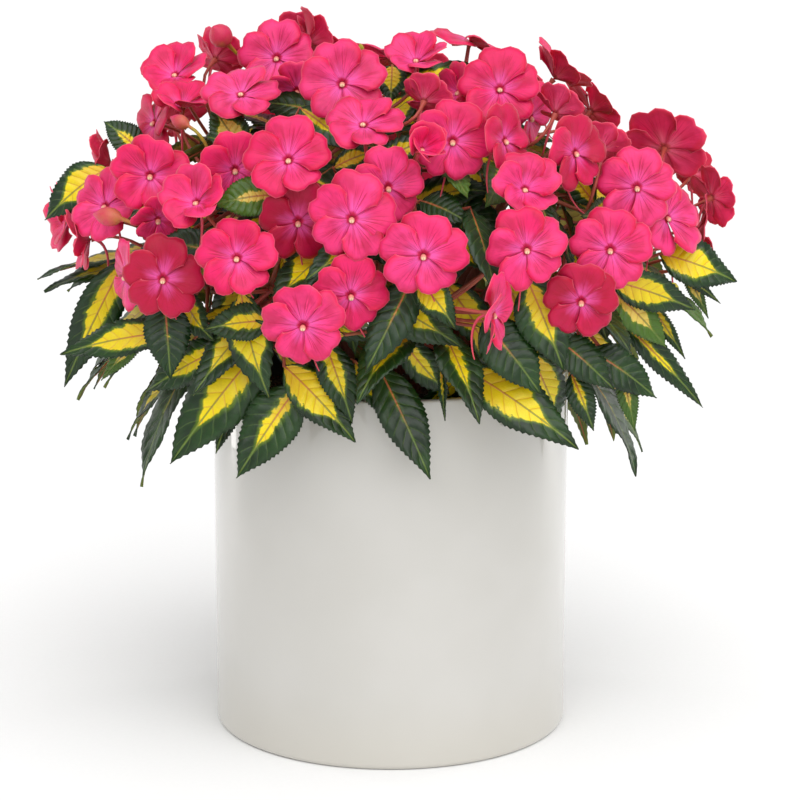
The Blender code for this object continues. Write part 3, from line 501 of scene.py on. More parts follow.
def fill_choices(number):
    draw = random.Random(FILL_SEED + number)
    way, normal = dome_spot(number, FILL_TRIES, FILL_DEPTH)
    place = DOME_CENTRE + stretched(way)
    turn = math.degrees(math.atan2(normal.x, -normal.y)) + draw.uniform(-30, 30)
    lift = math.degrees(math.asin(normal.z)) * 0.7 + draw.uniform(-14, 22)
    roll = draw.uniform(-36, 36)
    width = draw.uniform(*FILL_WIDTHS)
    form = draw.choice(FILL_FORMS)
    for shift in FILL_SHIFTS:
        yield Pose(place + normal * shift * MM, *facing(turn, lift), width / 2, roll, form)


def stalk_choices(start, way, beads):
    for bead in sorted(beads, key=lambda spot: (spot - start).length)[:STALK_JOINTS]:
        distance = (bead - start).length
        if distance > STALK_REACH:
            return
        side = (bead - start).cross(way).normalized()
        other = (bead - start).cross(side).normalized()
        for aside, along in STALK_SWINGS:
            shift = (side * aside + other * along) * STALK_SWING
            leave = start + way * STALK_LEAVE * distance + shift
            arrive = bead.lerp(start, STALK_ARRIVE) + shift
            yield start, leave, arrive, bead


def blade_width(share):
    """Half the width of a blade, as a share of its greatest half width."""
    return BLADE_PEAK * share**BLADE_RISE * (1 - share) ** BLADE_FALL


def blade_point(blade, share, across, rise=0.0):
    """A point of a solid's leaf blade: share of its length, metres across and off its middle."""
    way = curve_way(blade.base, blade.bend, blade.tip, share)
    side = way.cross(blade.face).normalized()
    normal = side.cross(way)
    turn = math.radians(blade.roll)
    right = side * math.cos(turn) - normal * math.sin(turn)
    normal = normal * math.cos(turn) + side * math.sin(turn)
    rise += FOLD * abs(across) - FOLD_EASE * across**2 / blade.width
    return curve_point(blade.base, blade.bend, blade.tip, share) + right * across + normal * rise


def blade_corners(blade):
    """The toothed corners and the tip of a solid's leaf blade."""
    corners = [blade.tip]
    for sign in (1, -1):
        for i, share in enumerate(ROWS[0] if blade.fine else ROWS[1]):
            tooth = 1 + TOOTH if i % 2 else 1 - TOOTH
            across = sign * 0.5 * blade.width * blade_width(share) * tooth
            corners.append(blade_point(blade, share, across))
    return corners


def petiole_choices(blade, stem):
    places = [share / 20 for share in range(5, 20)]
    reach = {place: (stem_point(stem, place) - blade.base).length for place in places}
    way = curve_way(blade.base, blade.bend, blade.tip, 0)
    for place in sorted(places, key=lambda key: reach[key]):
        start = stem_point(stem, place)
        turned = (blade.base - start).dot(way) > PETIOLE_TURN * reach[place]
        if reach[place] < PETIOLE_REACH and turned:
            yield start


def leaf_choices(leaf):
    x0, z0, f0, x1, z1, f1, width, arch, roll = leaf
    for turn, shift in product(LEAF_TURNS, LEAF_SHIFTS):
        base = sight(x0, z0, f0 + shift)
        tip = sight(x1, z1, f1 + shift)
        face = (EYE - base).normalized() + Vector((0, 0, 0.5))
        bend = (base + tip) / 2 + face * arch * MM
        fine = (tip - base).length > LARGE_LEAF
        yield Blade(base, bend, tip, face, width * MM, roll + turn, fine)


def tip_leaf_choices(stem, number, i):
    draw = random.Random(LEAF_SEED + 10 * number + i)
    share = 0.93 - 0.05 * i
    start = stem_point(stem, share)
    axis = stem_way(stem, share)
    first = axis.orthogonal().normalized()
    second = axis.cross(first)
    turn = i * GOLDEN_TURN + draw.uniform(0, math.tau / 8) + number
    pitch = draw.uniform(*LEAF_PITCH)
    droop = draw.uniform(*LEAF_DROOP)
    length = draw.uniform(*LEAF_LENGTHS)
    roll = draw.uniform(-15, 15)
    for size, lean, swing in product(TIP_SIZES, TIP_LEANS, TIP_SWINGS):
        out = first * math.cos(turn + swing) + second * math.sin(turn + swing)
        tilt = math.radians(pitch + lean)
        leave = axis * math.cos(tilt) + out * math.sin(tilt)
        reach = length * size
        base = start + leave * reach * PETIOLE_SHARE
        bend = start + leave * reach * BEND_SHARE
        tip = start + leave * reach * TIP_SHARE - Vector((0, 0, droop * reach))
        face = Vector((base.x, base.y, 0)).normalized() * 0.5 + UP
        yield Blade(base, bend, tip, face, reach * LEAF_WIDTH_SHARE, roll, False)


def tier_leaf_choices(tier, i):
    count, base_radius, base_height, tip_radius, tip_height, width = TIERS[tier]
    draw = random.Random(TIER_SEED + 100 * tier + i)
    span = 360 - 2 * TIER_START
    turn = math.radians(TIER_START + span * (i + 0.5 + draw.uniform(-0.2, 0.2)) / count)
    heights = (base_height + draw.uniform(-9, 9), tip_height + draw.uniform(-22, 22))
    radii = (base_radius + draw.uniform(-6, 6), tip_radius + draw.uniform(-14, 14))
    swing = draw.uniform(-0.22, 0.22)
    roll = draw.uniform(-25, 25)
    for further, shift in product(TIER_STEPS, TIER_SHIFTS):
        places = []
        for angle, radius, height in zip((turn + shift, turn + shift + swing), radii, heights):
            out = Vector((math.sin(angle), -math.cos(angle), 0))
            places.append((out * (radius + further) + Vector((0, 0, height))) * MM)
        base, tip = places
        face = Vector((base.x, base.y, 0)).normalized() + Vector((0, 0, 0.6))
        bend = (base + tip) / 2 + face * ARCH
        yield Blade(base, bend, tip, face, width * MM, roll, False)


def young_leaf_choices(number):
    draw = random.Random(YOUNG_SEED + number)
    way, normal = dome_spot(number, YOUNG_LEAVES, YOUNG_DEPTH)
    down = Vector((0, 0, -1)) + Vector((way.x, way.y, 0)) * 0.8
    down = (down - normal * down.dot(normal)).normalized()
    aside = normal.cross(down)
    first = draw.uniform(-1.4, 1.4)
    length = draw.uniform(*YOUNG_LENGTHS)
    roll = draw.uniform(-30, 30)
    for depth, size, swing in product(YOUNG_DEPTHS[number % 2:], YOUNG_SIZES, YOUNG_SWINGS):
        base = DOME_CENTRE + stretched(way) * depth
        along = down * math.cos(first + swing) + aside * math.sin(first + swing)
        tip = base + (along + normal * YOUNG_RISE) * length * size
        bend = (base + tip) / 2 + normal * YOUNG_ARCH * length * size
        yield Blade(base, bend, tip, normal, YOUNG_WIDTH_SHARE * length * size, roll, False)


# Sums and nodes


class Wire:
    """An output of a node, with which sums can be written."""

    def __init__(self, tree, socket):
        self.tree = tree
        self.socket = socket

    def through(self, operation, *others):
        return reckon(self.tree, operation, self, *others)

    def __add__(self, other):
        return self.through("ADD", other)

    def __sub__(self, other):
        return self.through("SUBTRACT", other)

    def __rsub__(self, other):
        return reckon(self.tree, "SUBTRACT", other, self)

    def __mul__(self, other):
        return self.through("MULTIPLY", other)

    def __truediv__(self, other):
        return self.through("DIVIDE", other)

    def __pow__(self, other):
        return self.through("POWER", other)

    def __abs__(self):
        return self.through("ABSOLUTE")

    __radd__ = __add__
    __rmul__ = __mul__


def is_vector(value):
    if isinstance(value, Wire):
        return value.socket.type in ("VECTOR", "RGBA")
    return isinstance(value, (tuple, Vector))


def plug(tree, socket, value):
    """Links an output to a socket, or sets the socket's own value."""
    if isinstance(value, Wire):
        tree.links.new(value.socket, socket)
    elif socket.type == "RGBA":
        socket.default_value = (*value[:3], 1)
    else:
        socket.default_value = value


def steps(tree, kind, *values, **settings):
    """Adds a node, fills its open sockets in order, and returns all its outputs."""
    node = tree.nodes.new(kind)
    for label, value in settings.items():
        setattr(node, label, value)
    sockets = [socket for socket in node.inputs if socket.enabled]
    for socket, value in zip(sockets, values):
        if value is not None:
            plug(tree, socket, value)
    return [Wire(tree, socket) for socket in node.outputs if socket.enabled]


def step(tree, kind, *values, **settings):
    return steps(tree, kind, *values, **settings)[0]


def reckon(tree, operation, *values):
    """One sum, done on vectors if any value is one."""
    if not any(is_vector(value) for value in values):
        return step(tree, "ShaderNodeMath", *values, operation=operation)
    if operation == "MULTIPLY" and not all(is_vector(value) for value in values):
        vector, number = values if is_vector(values[0]) else values[::-1]
        return step(tree, "ShaderNodeVectorMath", vector, number, operation="SCALE")
    return step(tree, "ShaderNodeVectorMath", *values, operation=operation)


def sine(wire):
    return wire.through("SINE")


def cosine(wire):
    return wire.through("COSINE")


def parts(wire):
    return steps(wire.tree, "ShaderNodeSeparateXYZ", wire)


def joined(tree, x, y, z):
    return step(tree, "ShaderNodeCombineXYZ", x, y, z)


def eased(wire, start, end, low=0.0, high=1.0):
    """Goes smoothly from low at start to high at end."""
    return step(
        wire.tree, "ShaderNodeMapRange", wire, start, end, low, high, interpolation_type="SMOOTHSTEP"
    )


def blended(share, first, second):
    """A colour between two, by a share."""
    return step(share.tree, "ShaderNodeMix", share, first, second, data_type="RGBA")


def layered(colour, *layers):
    """A colour with others laid over it in turn, each by its own share."""
    for share, other in layers:
        colour = blended(share, colour, other)
    return colour


def noise(place, scale, detail=2.0, roughness=0.5):
    return step(place.tree, "ShaderNodeTexNoise", place, scale, detail, roughness)


def linear(red, green, blue):
    """A colour read off a screen, from 0 to 255, as light."""
    return tuple((value / 255) ** 2.2 for value in (red, green, blue))


def given_inputs(tree):
    """A group's own inputs by name."""
    source = tree.nodes.new("NodeGroupInput")
    return {socket.name: Wire(tree, socket) for socket in source.outputs if socket.name}


def added(name, data):
    """A new object in the scene."""
    thing = bpy.data.objects.new(name, data)
    bpy.context.scene.collection.objects.link(thing)
    return thing


# Growing shapes


def new_growth(name, **sizes):
    """A geometry tree, with the sockets for its seeds, its finish and its sizes."""
    tree = bpy.data.node_groups.new(name, "GeometryNodeTree")
    tree.interface.new_socket("Shape", in_out="OUTPUT", socket_type="NodeSocketGeometry")
    tree.interface.new_socket("Seeds", in_out="INPUT", socket_type="NodeSocketGeometry")
    tree.interface.new_socket("Finish", in_out="INPUT", socket_type="NodeSocketMaterial")
    for label, value in sizes.items():
        kind = "NodeSocketInt" if isinstance(value, int) else "NodeSocketFloat"
        tree.interface.new_socket(label, in_out="INPUT", socket_type=kind).default_value = value
    return tree, given_inputs(tree)


def finish_growth(shape, given):
    """Ends a geometry tree."""
    tree = shape.tree
    smooth = step(tree, "GeometryNodeSetShadeSmooth", shape)
    real = step(tree, "GeometryNodeRealizeInstances", smooth)
    done = step(tree, "GeometryNodeSetMaterial", real, None, given["Finish"])
    target = tree.nodes.new("NodeGroupOutput")
    tree.links.new(done.socket, target.inputs[0])
    return tree


def grown(name, seeds, tree, finish, **sizes):
    """The plain piece that a tree makes of its seeds. Of the seeds' measures it keeps the tint."""
    piece = added(name, seeds)
    modifier = piece.modifiers.new(name, "NODES")
    modifier.node_group = tree
    sizes["Finish"] = finish
    for item in tree.interface.items_tree:
        if item.in_out == "INPUT" and item.name in sizes:
            modifier[item.identifier] = sizes[item.name]
    ready = bpy.context.evaluated_depsgraph_get()
    mesh = bpy.data.meshes.new_from_object(
        piece.evaluated_get(ready), preserve_all_data_layers=True, depsgraph=ready
    )
    piece.modifiers.remove(modifier)
    piece.data = mesh
    mesh.name = name
    for label in [attribute.name for attribute in seeds.attributes if attribute.name != "tint"]:
        if label in mesh.attributes and not mesh.attributes[label].is_required:
            mesh.attributes.remove(mesh.attributes[label])
    return piece


def add_columns(mesh, columns):
    """Writes each list of values on the mesh's points under its name."""
    for label, values in columns.items():
        vector = not isinstance(values[0], (int, float))
        kind = "FLOAT_VECTOR" if vector else "FLOAT"
        attribute = mesh.attributes.new(label, kind, "POINT")
        flat = np.array([tuple(value) if vector else value for value in values], "f").ravel()
        attribute.data.foreach_set("vector" if vector else "value", flat)


def seed_points(name, labels, rows):
    """A seed for each row of measures, all at the origin."""
    mesh = bpy.data.meshes.new(name)
    mesh.from_pydata([(0, 0, 0)] * len(rows), [], [])
    add_columns(mesh, dict(zip(labels, zip(*rows))))
    return mesh


def seed_routes(name, routes):
    """Lines to grow stalks along. Each route is a list of (place, girth, tint)."""
    places, girths, tints = zip(*(spot for route in routes for spot in route))
    edges = []
    first = 0
    for route in routes:
        edges += [(first + i, first + i + 1) for i in range(len(route) - 1)]
        first += len(route)
    mesh = bpy.data.meshes.new(name)
    mesh.from_pydata([tuple(place) for place in places], edges, [])
    add_columns(mesh, {"girth": girths, "tint": tints})
    return mesh


def seed_profile(name, points):
    mesh = bpy.data.meshes.new(name)
    mesh.from_pydata([(radius, 0, height) for radius, height in points], [], [])
    return mesh


def own(tree, labels, vector=True):
    """What the seeds carry under these names."""
    kind = "FLOAT_VECTOR" if vector else "FLOAT"
    return [
        step(tree, "GeometryNodeInputNamedAttribute", label, data_type=kind)
        for label in labels.split()
    ]


def marked(shape, name, *value):
    """The shape with a vector written on its points."""
    return step(
        shape.tree, "GeometryNodeStoreNamedAttribute", shape, None, name, joined(shape.tree, *value),
        data_type="FLOAT_VECTOR", domain="POINT",
    )


def moved(shape, place):
    return step(shape.tree, "GeometryNodeSetPosition", shape, None, place)


def copied(given, shape):
    """The shape once for each seed, with the places of its points."""
    tree = shape.tree
    copies = step(tree, "GeometryNodeInstanceOnPoints", given["Seeds"], None, shape)
    copies = step(tree, "GeometryNodeRealizeInstances", copies)
    return copies, parts(step(tree, "GeometryNodeInputPosition"))


def flat_sheets(tree, given):
    """A sheet of rows and columns for each seed, with the places of its points."""
    grid = step(tree, "GeometryNodeMeshGrid", 1.0, 1.0, given["Columns"] + 1, given["Rows"] + 1)
    return copied(given, grid)


def turn_profile(profile, sides):
    """A profile carried once round the axis, with its seam and poles closed."""
    tree = profile.tree
    count = step(tree, "GeometryNodeAttributeDomainSize", profile)
    grid = step(tree, "GeometryNodeMeshGrid", 1.0, 1.0, sides + 1, count)
    place = step(tree, "GeometryNodeInputPosition")
    x, y, _ = parts(place)
    row = ((y + 0.5) * (count - 1)).through("ROUND")
    spot = step(tree, "GeometryNodeSampleIndex", profile, place, row, data_type="FLOAT_VECTOR")
    radius, _, height = parts(spot)
    turn = (x + 0.5) * math.tau
    shape = moved(grid, joined(tree, radius * cosine(turn), radius * sine(turn), height))
    return step(tree, "GeometryNodeMergeByDistance", shape, None, WELD)


def turned_tree():
    _, given = new_growth("turned solid", Sides=160)
    return finish_growth(turn_profile(given["Seeds"], given["Sides"]), given)


def soil_tree():
    """A turned block of soil with a rough top and loose crumbs on it."""
    tree, given = new_growth(
        "potting soil", Sides=96, Crumbs=36000.0, Crumb=1.5 * MM, Seed=7, Roughness=5 * MM
    )
    block = turn_profile(given["Seeds"], given["Sides"])
    place = step(tree, "GeometryNodeInputPosition")
    normal = step(tree, "GeometryNodeInputNormal")
    upwards = eased(parts(normal)[2], 0.5, 0.9)
    rough = (noise(place, 90.0, 4.0, 0.7) - 0.5) * upwards * given["Roughness"]
    block = step(
        tree, "GeometryNodeSetPosition", block, None, None, joined(tree, 0.0, 0.0, rough)
    )
    spots, _, turns = steps(
        tree, "GeometryNodeDistributePointsOnFaces", block, upwards, given["Crumbs"], given["Seed"]
    )
    crumb = step(tree, "GeometryNodeMeshIcoSphere", given["Crumb"], 1)
    sizes = step(
        tree, "FunctionNodeRandomValue", (0.4, 0.4, 0.3), (1.6, 1.2, 0.9), None, given["Seed"],
        data_type="FLOAT_VECTOR",
    )
    crumbs = step(
        tree, "GeometryNodeInstanceOnPoints", spots, None, crumb, None, None, turns, sizes
    )
    both = tree.nodes.new("GeometryNodeJoinGeometry")
    for part in (crumbs, block):
        tree.links.new(part.socket, both.inputs[0])
    return finish_growth(Wire(tree, both.outputs[0]), given)


def stalk_tree():
    """Round stalks along the seed lines, as thick as each point's girth."""
    tree, given = new_growth("stalks", Sides=8)
    lines = step(tree, "GeometryNodeMeshToCurve", given["Seeds"])
    ring = step(tree, "GeometryNodeCurvePrimitiveCircle", given["Sides"], 1.0)
    girth, = own(tree, "girth", False)
    return finish_growth(step(tree, "GeometryNodeCurveToMesh", lines, ring, girth, True), given)


def leaf_tree():
    """Toothed, quilted blades on the curves that the seeds carry."""
    tree, given = new_growth(
        "leaf blades", Rows=44, Columns=6, Tooth=1.0 * MM, Quilt=1.0 * MM, Veins=VEINS,
        Waves=2.3, Wave=0.035,
    )
    blades, (x, y, _) = flat_sheets(tree, given)
    u = x * 2
    s = y + 0.5
    base, bend, tip, face = own(tree, "base bend tip face")
    width, roll, luck, pale = own(tree, "width roll luck pale", False)
    out = abs(u)

    half = (s**BLADE_RISE) * ((1 - s) ** BLADE_FALL) * width * (BLADE_PEAK / 2)
    edge = out**8
    tooth = (s * given["Rows"]).through("PINGPONG", 1.0) * edge
    depth = (half * 0.2).through("MINIMUM", given["Tooth"])
    across = u * half + u.through("SIGN") * (tooth - edge * 0.5) * depth
    ahead = s + tooth * (1 - s) * 0.9 / given["Rows"]

    way = ((bend - base) * (1 - s) + (tip - bend) * s).through("NORMALIZE")
    side = way.through("CROSS_PRODUCT", face).through("NORMALIZE")
    normal = side.through("CROSS_PRODUCT", way)
    right = side * cosine(roll) - normal * sine(roll)
    normal = normal * cosine(roll) + side * sine(roll)
    middle = base * ((1 - ahead) ** 2) + bend * ahead * (1 - ahead) * 2 + tip * (ahead**2)

    fold = abs(across) * FOLD - across * across * FOLD_EASE / width
    vein = abs(sine((s - out * VEIN_SLANT) * given["Veins"] * math.pi))
    quilt = (vein - 0.6) * out * (1.25 - out) * 3 * given["Quilt"] * eased(s, 1.0, 0.75)
    phase = (s * given["Waves"] + luck * 9) * math.tau + u * 1.4
    ripple = sine(phase) * u * u * width * given["Wave"]
    blades = marked(blades, "leaf", u, s, luck)
    blades = marked(blades, "breadth", u * half, pale, width)
    shape = moved(blades, middle + right * across + normal * (fold + quilt + ripple))
    return finish_growth(step(tree, "GeometryNodeMergeByDistance", shape, None, WELD), given)


def petal_tree():
    """Notched, ruffled petals in the flower frames that the seeds carry."""
    tree, given = new_growth(
        "petals", Rows=8, Columns=10, Fan=0.82, Notch=0.11, Shoulder=0.46, Ruffle=0.045,
        Crease=0.05, Frill=0.012, Pucker=0.016, Droop=0.9,
    )
    petals, (x, y, _) = flat_sheets(tree, given)
    t = x * 2
    s = y * 0.95 + 0.525
    centre, outward, sideways, out, form, share = own(tree, "centre outward sideways out form share")
    length, luck, shade = own(tree, "length luck shade", False)
    cup, bend, curl = parts(form)
    twist, long_share, wide_share = parts(share)

    apart = abs(t)
    middle = (1 - apart * 3.2).through("MAXIMUM", 0.0) ** 1.4
    turn = t * given["Fan"] * (s * 0.24 + 0.76)
    frill = sine(t * 12 + luck * 60) * given["Frill"] + sine(luck * 31) * t * 0.05
    notch = given["Notch"] * middle * s**3
    reach = s * (1 - notch - given["Shoulder"] * apart**2.6 * s + frill * s)
    along = reach * cosine(turn) * long_share
    across = reach * sine(turn) * wide_share
    wave = sine(t * 3.1 + luck * 40) + sine(t * 7.5 + luck * 90) * 0.4
    pucker = sine(s * 9 + t * 5 + luck * 70) * apart * s * given["Pucker"]
    rise = (
        curl * across * across
        + pucker
        - bend * along * along
        + twist * across
        + wave * s * s * given["Ruffle"]
        - middle * s * (1.2 - s) * 2 * given["Crease"]
        - (s - 0.75).through("MAXIMUM", 0.0) ** 2 * given["Droop"]
    )
    radial = along * cosine(cup) - rise * sine(cup)
    height = along * sine(cup) + rise * cosine(cup)
    petals = marked(petals, "petal", t, s, luck)
    petals = marked(petals, "blush", shade, length, middle)
    place = centre + (sideways * across + outward * radial + out * height) * length
    return finish_growth(moved(petals, place), given)


def knob_tree():
    """Small rounded bodies, such as flower centres, in the frames that the seeds carry."""
    tree, given = new_growth("knobs", Segments=10, Rings=7, Waist=0.25)
    ball = step(tree, "GeometryNodeMeshUVSphere", given["Segments"], given["Rings"], 1.0)
    balls, (x, y, z) = copied(given, ball)
    centre, right, up, out = own(tree, "centre right up out")
    wide, high = own(tree, "wide high", False)
    balls = marked(balls, "knob", x, y, z)
    swell = wide * (1 + z * given["Waist"])
    place = centre + right * x * swell + up * y * swell + out * (z + 1) * high
    return finish_growth(moved(balls, place), given)


# Finishes


def new_effect(name, outputs, **inputs):
    """A shader group with named sockets. Inputs give their first values."""
    tree = bpy.data.node_groups.new(name, "ShaderNodeTree")
    for label, value in inputs.items():
        kind = "NodeSocketVector" if isinstance(value, tuple) else "NodeSocketFloat"
        tree.interface.new_socket(label, in_out="INPUT", socket_type=kind).default_value = value
    for label in outputs.split():
        tree.interface.new_socket(label, in_out="OUTPUT", socket_type="NodeSocketFloat")
    return tree, given_inputs(tree)


def finish_effect(tree, *results):
    target = tree.nodes.new("NodeGroupOutput")
    for result, socket in zip(results, target.inputs):
        plug(tree, socket, result)
    return tree


def new_finish(name, **measures):
    """A material, on whose shader's own sockets the fixed measures are set, and its tree."""
    material = bpy.data.materials.new(name)
    material.use_nodes = True
    shader = material.node_tree.nodes["Principled BSDF"]
    for label, value in measures.items():
        shader.inputs[label.replace("_", " ")].default_value = value
    return material, material.node_tree


def dress(material, colour, roughness, height=None, depth=0.0, strength=1.0):
    """Links a finish's colour, roughness and raised pattern to its shader."""
    tree = material.node_tree
    shader = tree.nodes["Principled BSDF"]
    plug(tree, shader.inputs["Base Color"], colour)
    plug(tree, shader.inputs["Roughness"], roughness)
    if height is not None:
        bump = tree.nodes.new("ShaderNodeBump")
        bump.inputs["Distance"].default_value = depth
        bump.inputs["Strength"].default_value = strength
        plug(tree, bump.inputs["Height"], height)
        tree.links.new(bump.outputs["Normal"], shader.inputs["Normal"])
    return material


def object_place(tree):
    return Wire(tree, tree.nodes.new("ShaderNodeTexCoord").outputs["Object"])


def own_mark(tree, name, output="Vector"):
    """What a piece's points carry under this name."""
    node = tree.nodes.new("ShaderNodeAttribute")
    node.attribute_name = name
    return Wire(tree, node.outputs[output])


def mottling_effect():
    """Soft patches and fine grain, both from 0 to 1."""
    tree, given = new_effect(
        "mottling", "Patches Grains", Place=(0.0, 0.0, 0.0), Patch=20.0, Grain=400.0
    )
    patches = eased(noise(given["Place"], given["Patch"], 3.0), 0.3, 0.7)
    grains = noise(given["Place"], given["Grain"], 3.0, 0.65)
    return finish_effect(tree, patches, grains)


def leaf_effect():
    """Where a leaf's veins run, and where its pale middle lies with fingers along the veins."""
    tree, given = new_effect(
        "leaf pattern", "Vein Midrib Pale Fringe Quilt Edge",
        Leaf=(0.0, 0.0, 0.0), Breadth=(0.0, 0.0, 0.0), Veins=VEINS,
    )
    u, s, luck = parts(given["Leaf"])
    across, pale, _ = parts(given["Breadth"])
    out = abs(u)
    sway = noise(joined(tree, u * 1.2, s * 5, luck * 50), 1.0, 2.0) - 0.5
    phase = (s - out * VEIN_SLANT) * given["Veins"] + sway * 0.35
    near = phase.through("PINGPONG", 0.5)
    vein = eased(near, 0.09, 0.02) * eased(out, 0.98, 0.6) * eased(s, 0.97, 0.85)
    twigs = noise(joined(tree, u * 9, s * 26, luck * 50), 1.0, 3.0, 0.6)
    midrib = eased(abs(across), 0.8 * MM, 0.35 * MM) * eased(s, 1.0, 0.9)
    side = u.through("SIGN") * 3
    fingers = noise(joined(tree, phase * 1.1, side, luck * 70), 1.0, 2.0, 0.6) - 0.5
    ragged = noise(joined(tree, u * 5, s * 16, luck * 70), 1.0, 4.0, 0.7) - 0.5
    shape = eased(s + ragged * 0.16, 0.80, 0.46) * eased(s, -0.35, 0.2)
    reach = (pale * 0.62 + fingers * 0.5 + ragged * 0.42) * shape - (1 - pale) * 0.12
    centre = eased(out - reach, 0.035, -0.035)
    fringe = eased(out - reach, 0.20, 0.0)
    quilt = abs(sine(phase * math.pi)) ** 0.6 * 0.7 + twigs * 0.3
    edge = eased(out, 0.86, 1.0)
    return finish_effect(tree, vein, midrib, centre, fringe, quilt, edge)


def petal_effect():
    """Fine lines that fan out from a petal's base, the lilac glow, the dark eye, the rim, random clouds,
    painted shade on the side that lies under the next petal, and a painted highlight along the edge.
    """
    tree, given = new_effect(
        "petal pattern", "Line Glow Eye Rim Cloud Under Lip", Petal=(0.0, 0.0, 0.0), Lines=17.0
    )
    t, s, luck = parts(given["Petal"])
    apart = abs(t)
    sway = noise(joined(tree, t * 3, s * 3, luck * 90), 1.0, 2.0) - 0.5
    fan = (t + sway * 0.06) * given["Lines"]
    fork = noise(joined(tree, fan, s * 1.1, luck * 90), 1.0, 4.0, 0.6)
    line = eased(fork, 0.50, 0.66)
    glow = eased(s + apart * 0.18 + sway * 0.30, 0.62, 0.14)
    eye = eased(s + apart * 0.03 + (fork - 0.5) * 0.08, 0.19, 0.11)
    rim = eased((s**2) + (apart**3) * 0.6 + sway * 0.25, 0.62, 1.15)
    cloud = noise(joined(tree, t * 1.6, s * 1.8, luck * 60), 1.0, 3.0)
    # painted shade on the side of the petal that lies under the next one
    under = eased(t, -0.45, -0.85)
    # painted highlight along the petal's edge
    sides = eased(apart, 0.94, 1.0) * eased(s, 0.3, 0.6)
    lip = eased(s, 0.965, 1.0).through("MAXIMUM", sides)
    return finish_effect(tree, line, glow, eye, rim, cloud, under, lip)


EFFECTS = {"mottling": mottling_effect(), "leaf": leaf_effect(), "petal": petal_effect()}


def mottled(tree, patch, grain):
    """Patches and grains of these scales over a piece."""
    return steps(
        tree, "ShaderNodeGroup", object_place(tree), patch, grain, node_tree=EFFECTS["mottling"]
    )


def leaf_marks(tree):
    leaf, breadth = own_mark(tree, "leaf"), own_mark(tree, "breadth")
    return steps(tree, "ShaderNodeGroup", leaf, breadth, VEINS, node_tree=EFFECTS["leaf"])


def glaze_finish():
    """Off-white glaze, a little uneven, with painted shade towards the foot, under a clear gloss."""
    material, tree = new_finish(
        "off-white glaze", Coat_Weight=1.0, Coat_Roughness=0.035, Coat_IOR=1.5, Specular_IOR_Level=0.4
    )
    place = object_place(tree)
    patches, grains = mottled(tree, 9.0, 260.0)
    # Painted shade: the glaze turns darker and warmer towards the foot, where the pot meets the floor.
    foot = eased(parts(place)[2], 0.06, 0.0)
    speck = eased(noise(place, 900.0, 1.0), 0.74, 0.80)
    colour = layered(
        linear(190, 188, 182),
        (patches, linear(196, 194, 189)),
        # painted shade towards the foot
        (foot * 0.5, linear(189, 184, 172)),
        (speck * 0.25, linear(176, 168, 152)),
    )
    height = noise(place, 26.0, 2.0) * 0.8 + grains * 0.03
    return dress(material, colour, 0.28 + patches * 0.05 + grains * 0.03, height, 1.2 * MM, 0.3)


def plastic_finish():
    """Black moulded plastic with a fine pebble and dusty scuffs."""
    material, tree = new_finish("black plastic", Specular_IOR_Level=0.45)
    patches, grains = mottled(tree, 30.0, 1400.0)
    colour = blended(patches, (0.010, 0.010, 0.011), (0.022, 0.021, 0.020))
    return dress(material, colour, 0.38 + patches * 0.15 + grains * 0.1, grains, 0.15 * MM, 0.5)


def soil_finish():
    """Dark potting soil with fibres and a few pale grains."""
    material, tree = new_finish("potting soil", Specular_IOR_Level=0.25)
    patches, grains = mottled(tree, 60.0, 700.0)
    pearl = eased(noise(object_place(tree), 210.0, 0.0), 0.76, 0.79)
    colour = layered(
        (0.014, 0.009, 0.006),
        (patches, (0.050, 0.030, 0.017)),
        (eased(grains, 0.5, 0.72), (0.090, 0.058, 0.034)),
        (pearl, (0.42, 0.40, 0.36)),
    )
    return dress(material, colour, 0.82 + grains * 0.15, grains + patches * 0.5, 1.0 * MM, 0.8)


def leaf_finish():
    """The upper side: dark green round a ragged yellow middle, with a pink-tan midrib."""
    material, tree = new_finish(
        "variegated leaf", Specular_IOR_Level=0.45, Subsurface_Weight=0.10, Subsurface_Scale=1.5 * MM
    )
    vein, midrib, pale, fringe, quilt, edge = leaf_marks(tree)
    _, s, luck = parts(own_mark(tree, "leaf"))
    patches, grains = mottled(tree, 55.0, 900.0)
    green = layered(
        linear(16, 40, 14),
        (patches, linear(34, 66, 22)),
        (eased(luck, 0.35, 0.75) * 0.6, linear(24, 50, 26)),
        (eased(luck, 0.86, 0.94) * 0.7, linear(86, 122, 34)),
        (vein * 0.35, linear(86, 112, 48)),
        (edge * 0.4, linear(22, 36, 12)),
        (fringe * 0.75, linear(104, 132, 20)),
    )
    yellow = layered(
        linear(248, 222, 14),
        (patches, linear(236, 208, 24)),
        (eased(luck, 0.74, 0.9) * 0.8, linear(238, 206, 104)),
        (eased(s, 0.50, 0.0) * 0.5, linear(230, 164, 48)),
        (vein * 0.45, linear(222, 150, 52)),
    )
    rib = blended(eased(s, 0.25, 0.65), linear(202, 100, 70), linear(104, 124, 60))
    colour = layered(green, (pale, yellow), (midrib * 0.75, rib), (grains * 0.16, linear(30, 44, 14)))
    height = quilt + grains * 0.10 + midrib * 0.3
    return dress(material, colour, 0.28 + grains * 0.12 + patches * 0.06, height, 0.8 * MM, 0.85)


def leaf_back_finish():
    """The underside: duller and lighter, with raised pinkish veins."""
    material, tree = new_finish(
        "leaf underside", Specular_IOR_Level=0.35, Subsurface_Weight=0.10, Subsurface_Scale=1.5 * MM
    )
    vein, midrib, pale, fringe, quilt, _ = leaf_marks(tree)
    patches, grains = mottled(tree, 55.0, 900.0)
    colour = layered(
        linear(92, 112, 50),
        (patches, linear(112, 124, 58)),
        (fringe * 0.4, linear(150, 158, 62)),
        (pale * 0.7, linear(206, 186, 84)),
        (vein * 0.55, linear(176, 118, 82)),
        (midrib * 0.8, linear(186, 84, 72)),
    )
    height = vein * 0.8 + midrib - quilt * 0.4 + grains * 0.15
    return dress(material, colour, 0.5 + grains * 0.2, height, 0.7 * MM, 0.6)


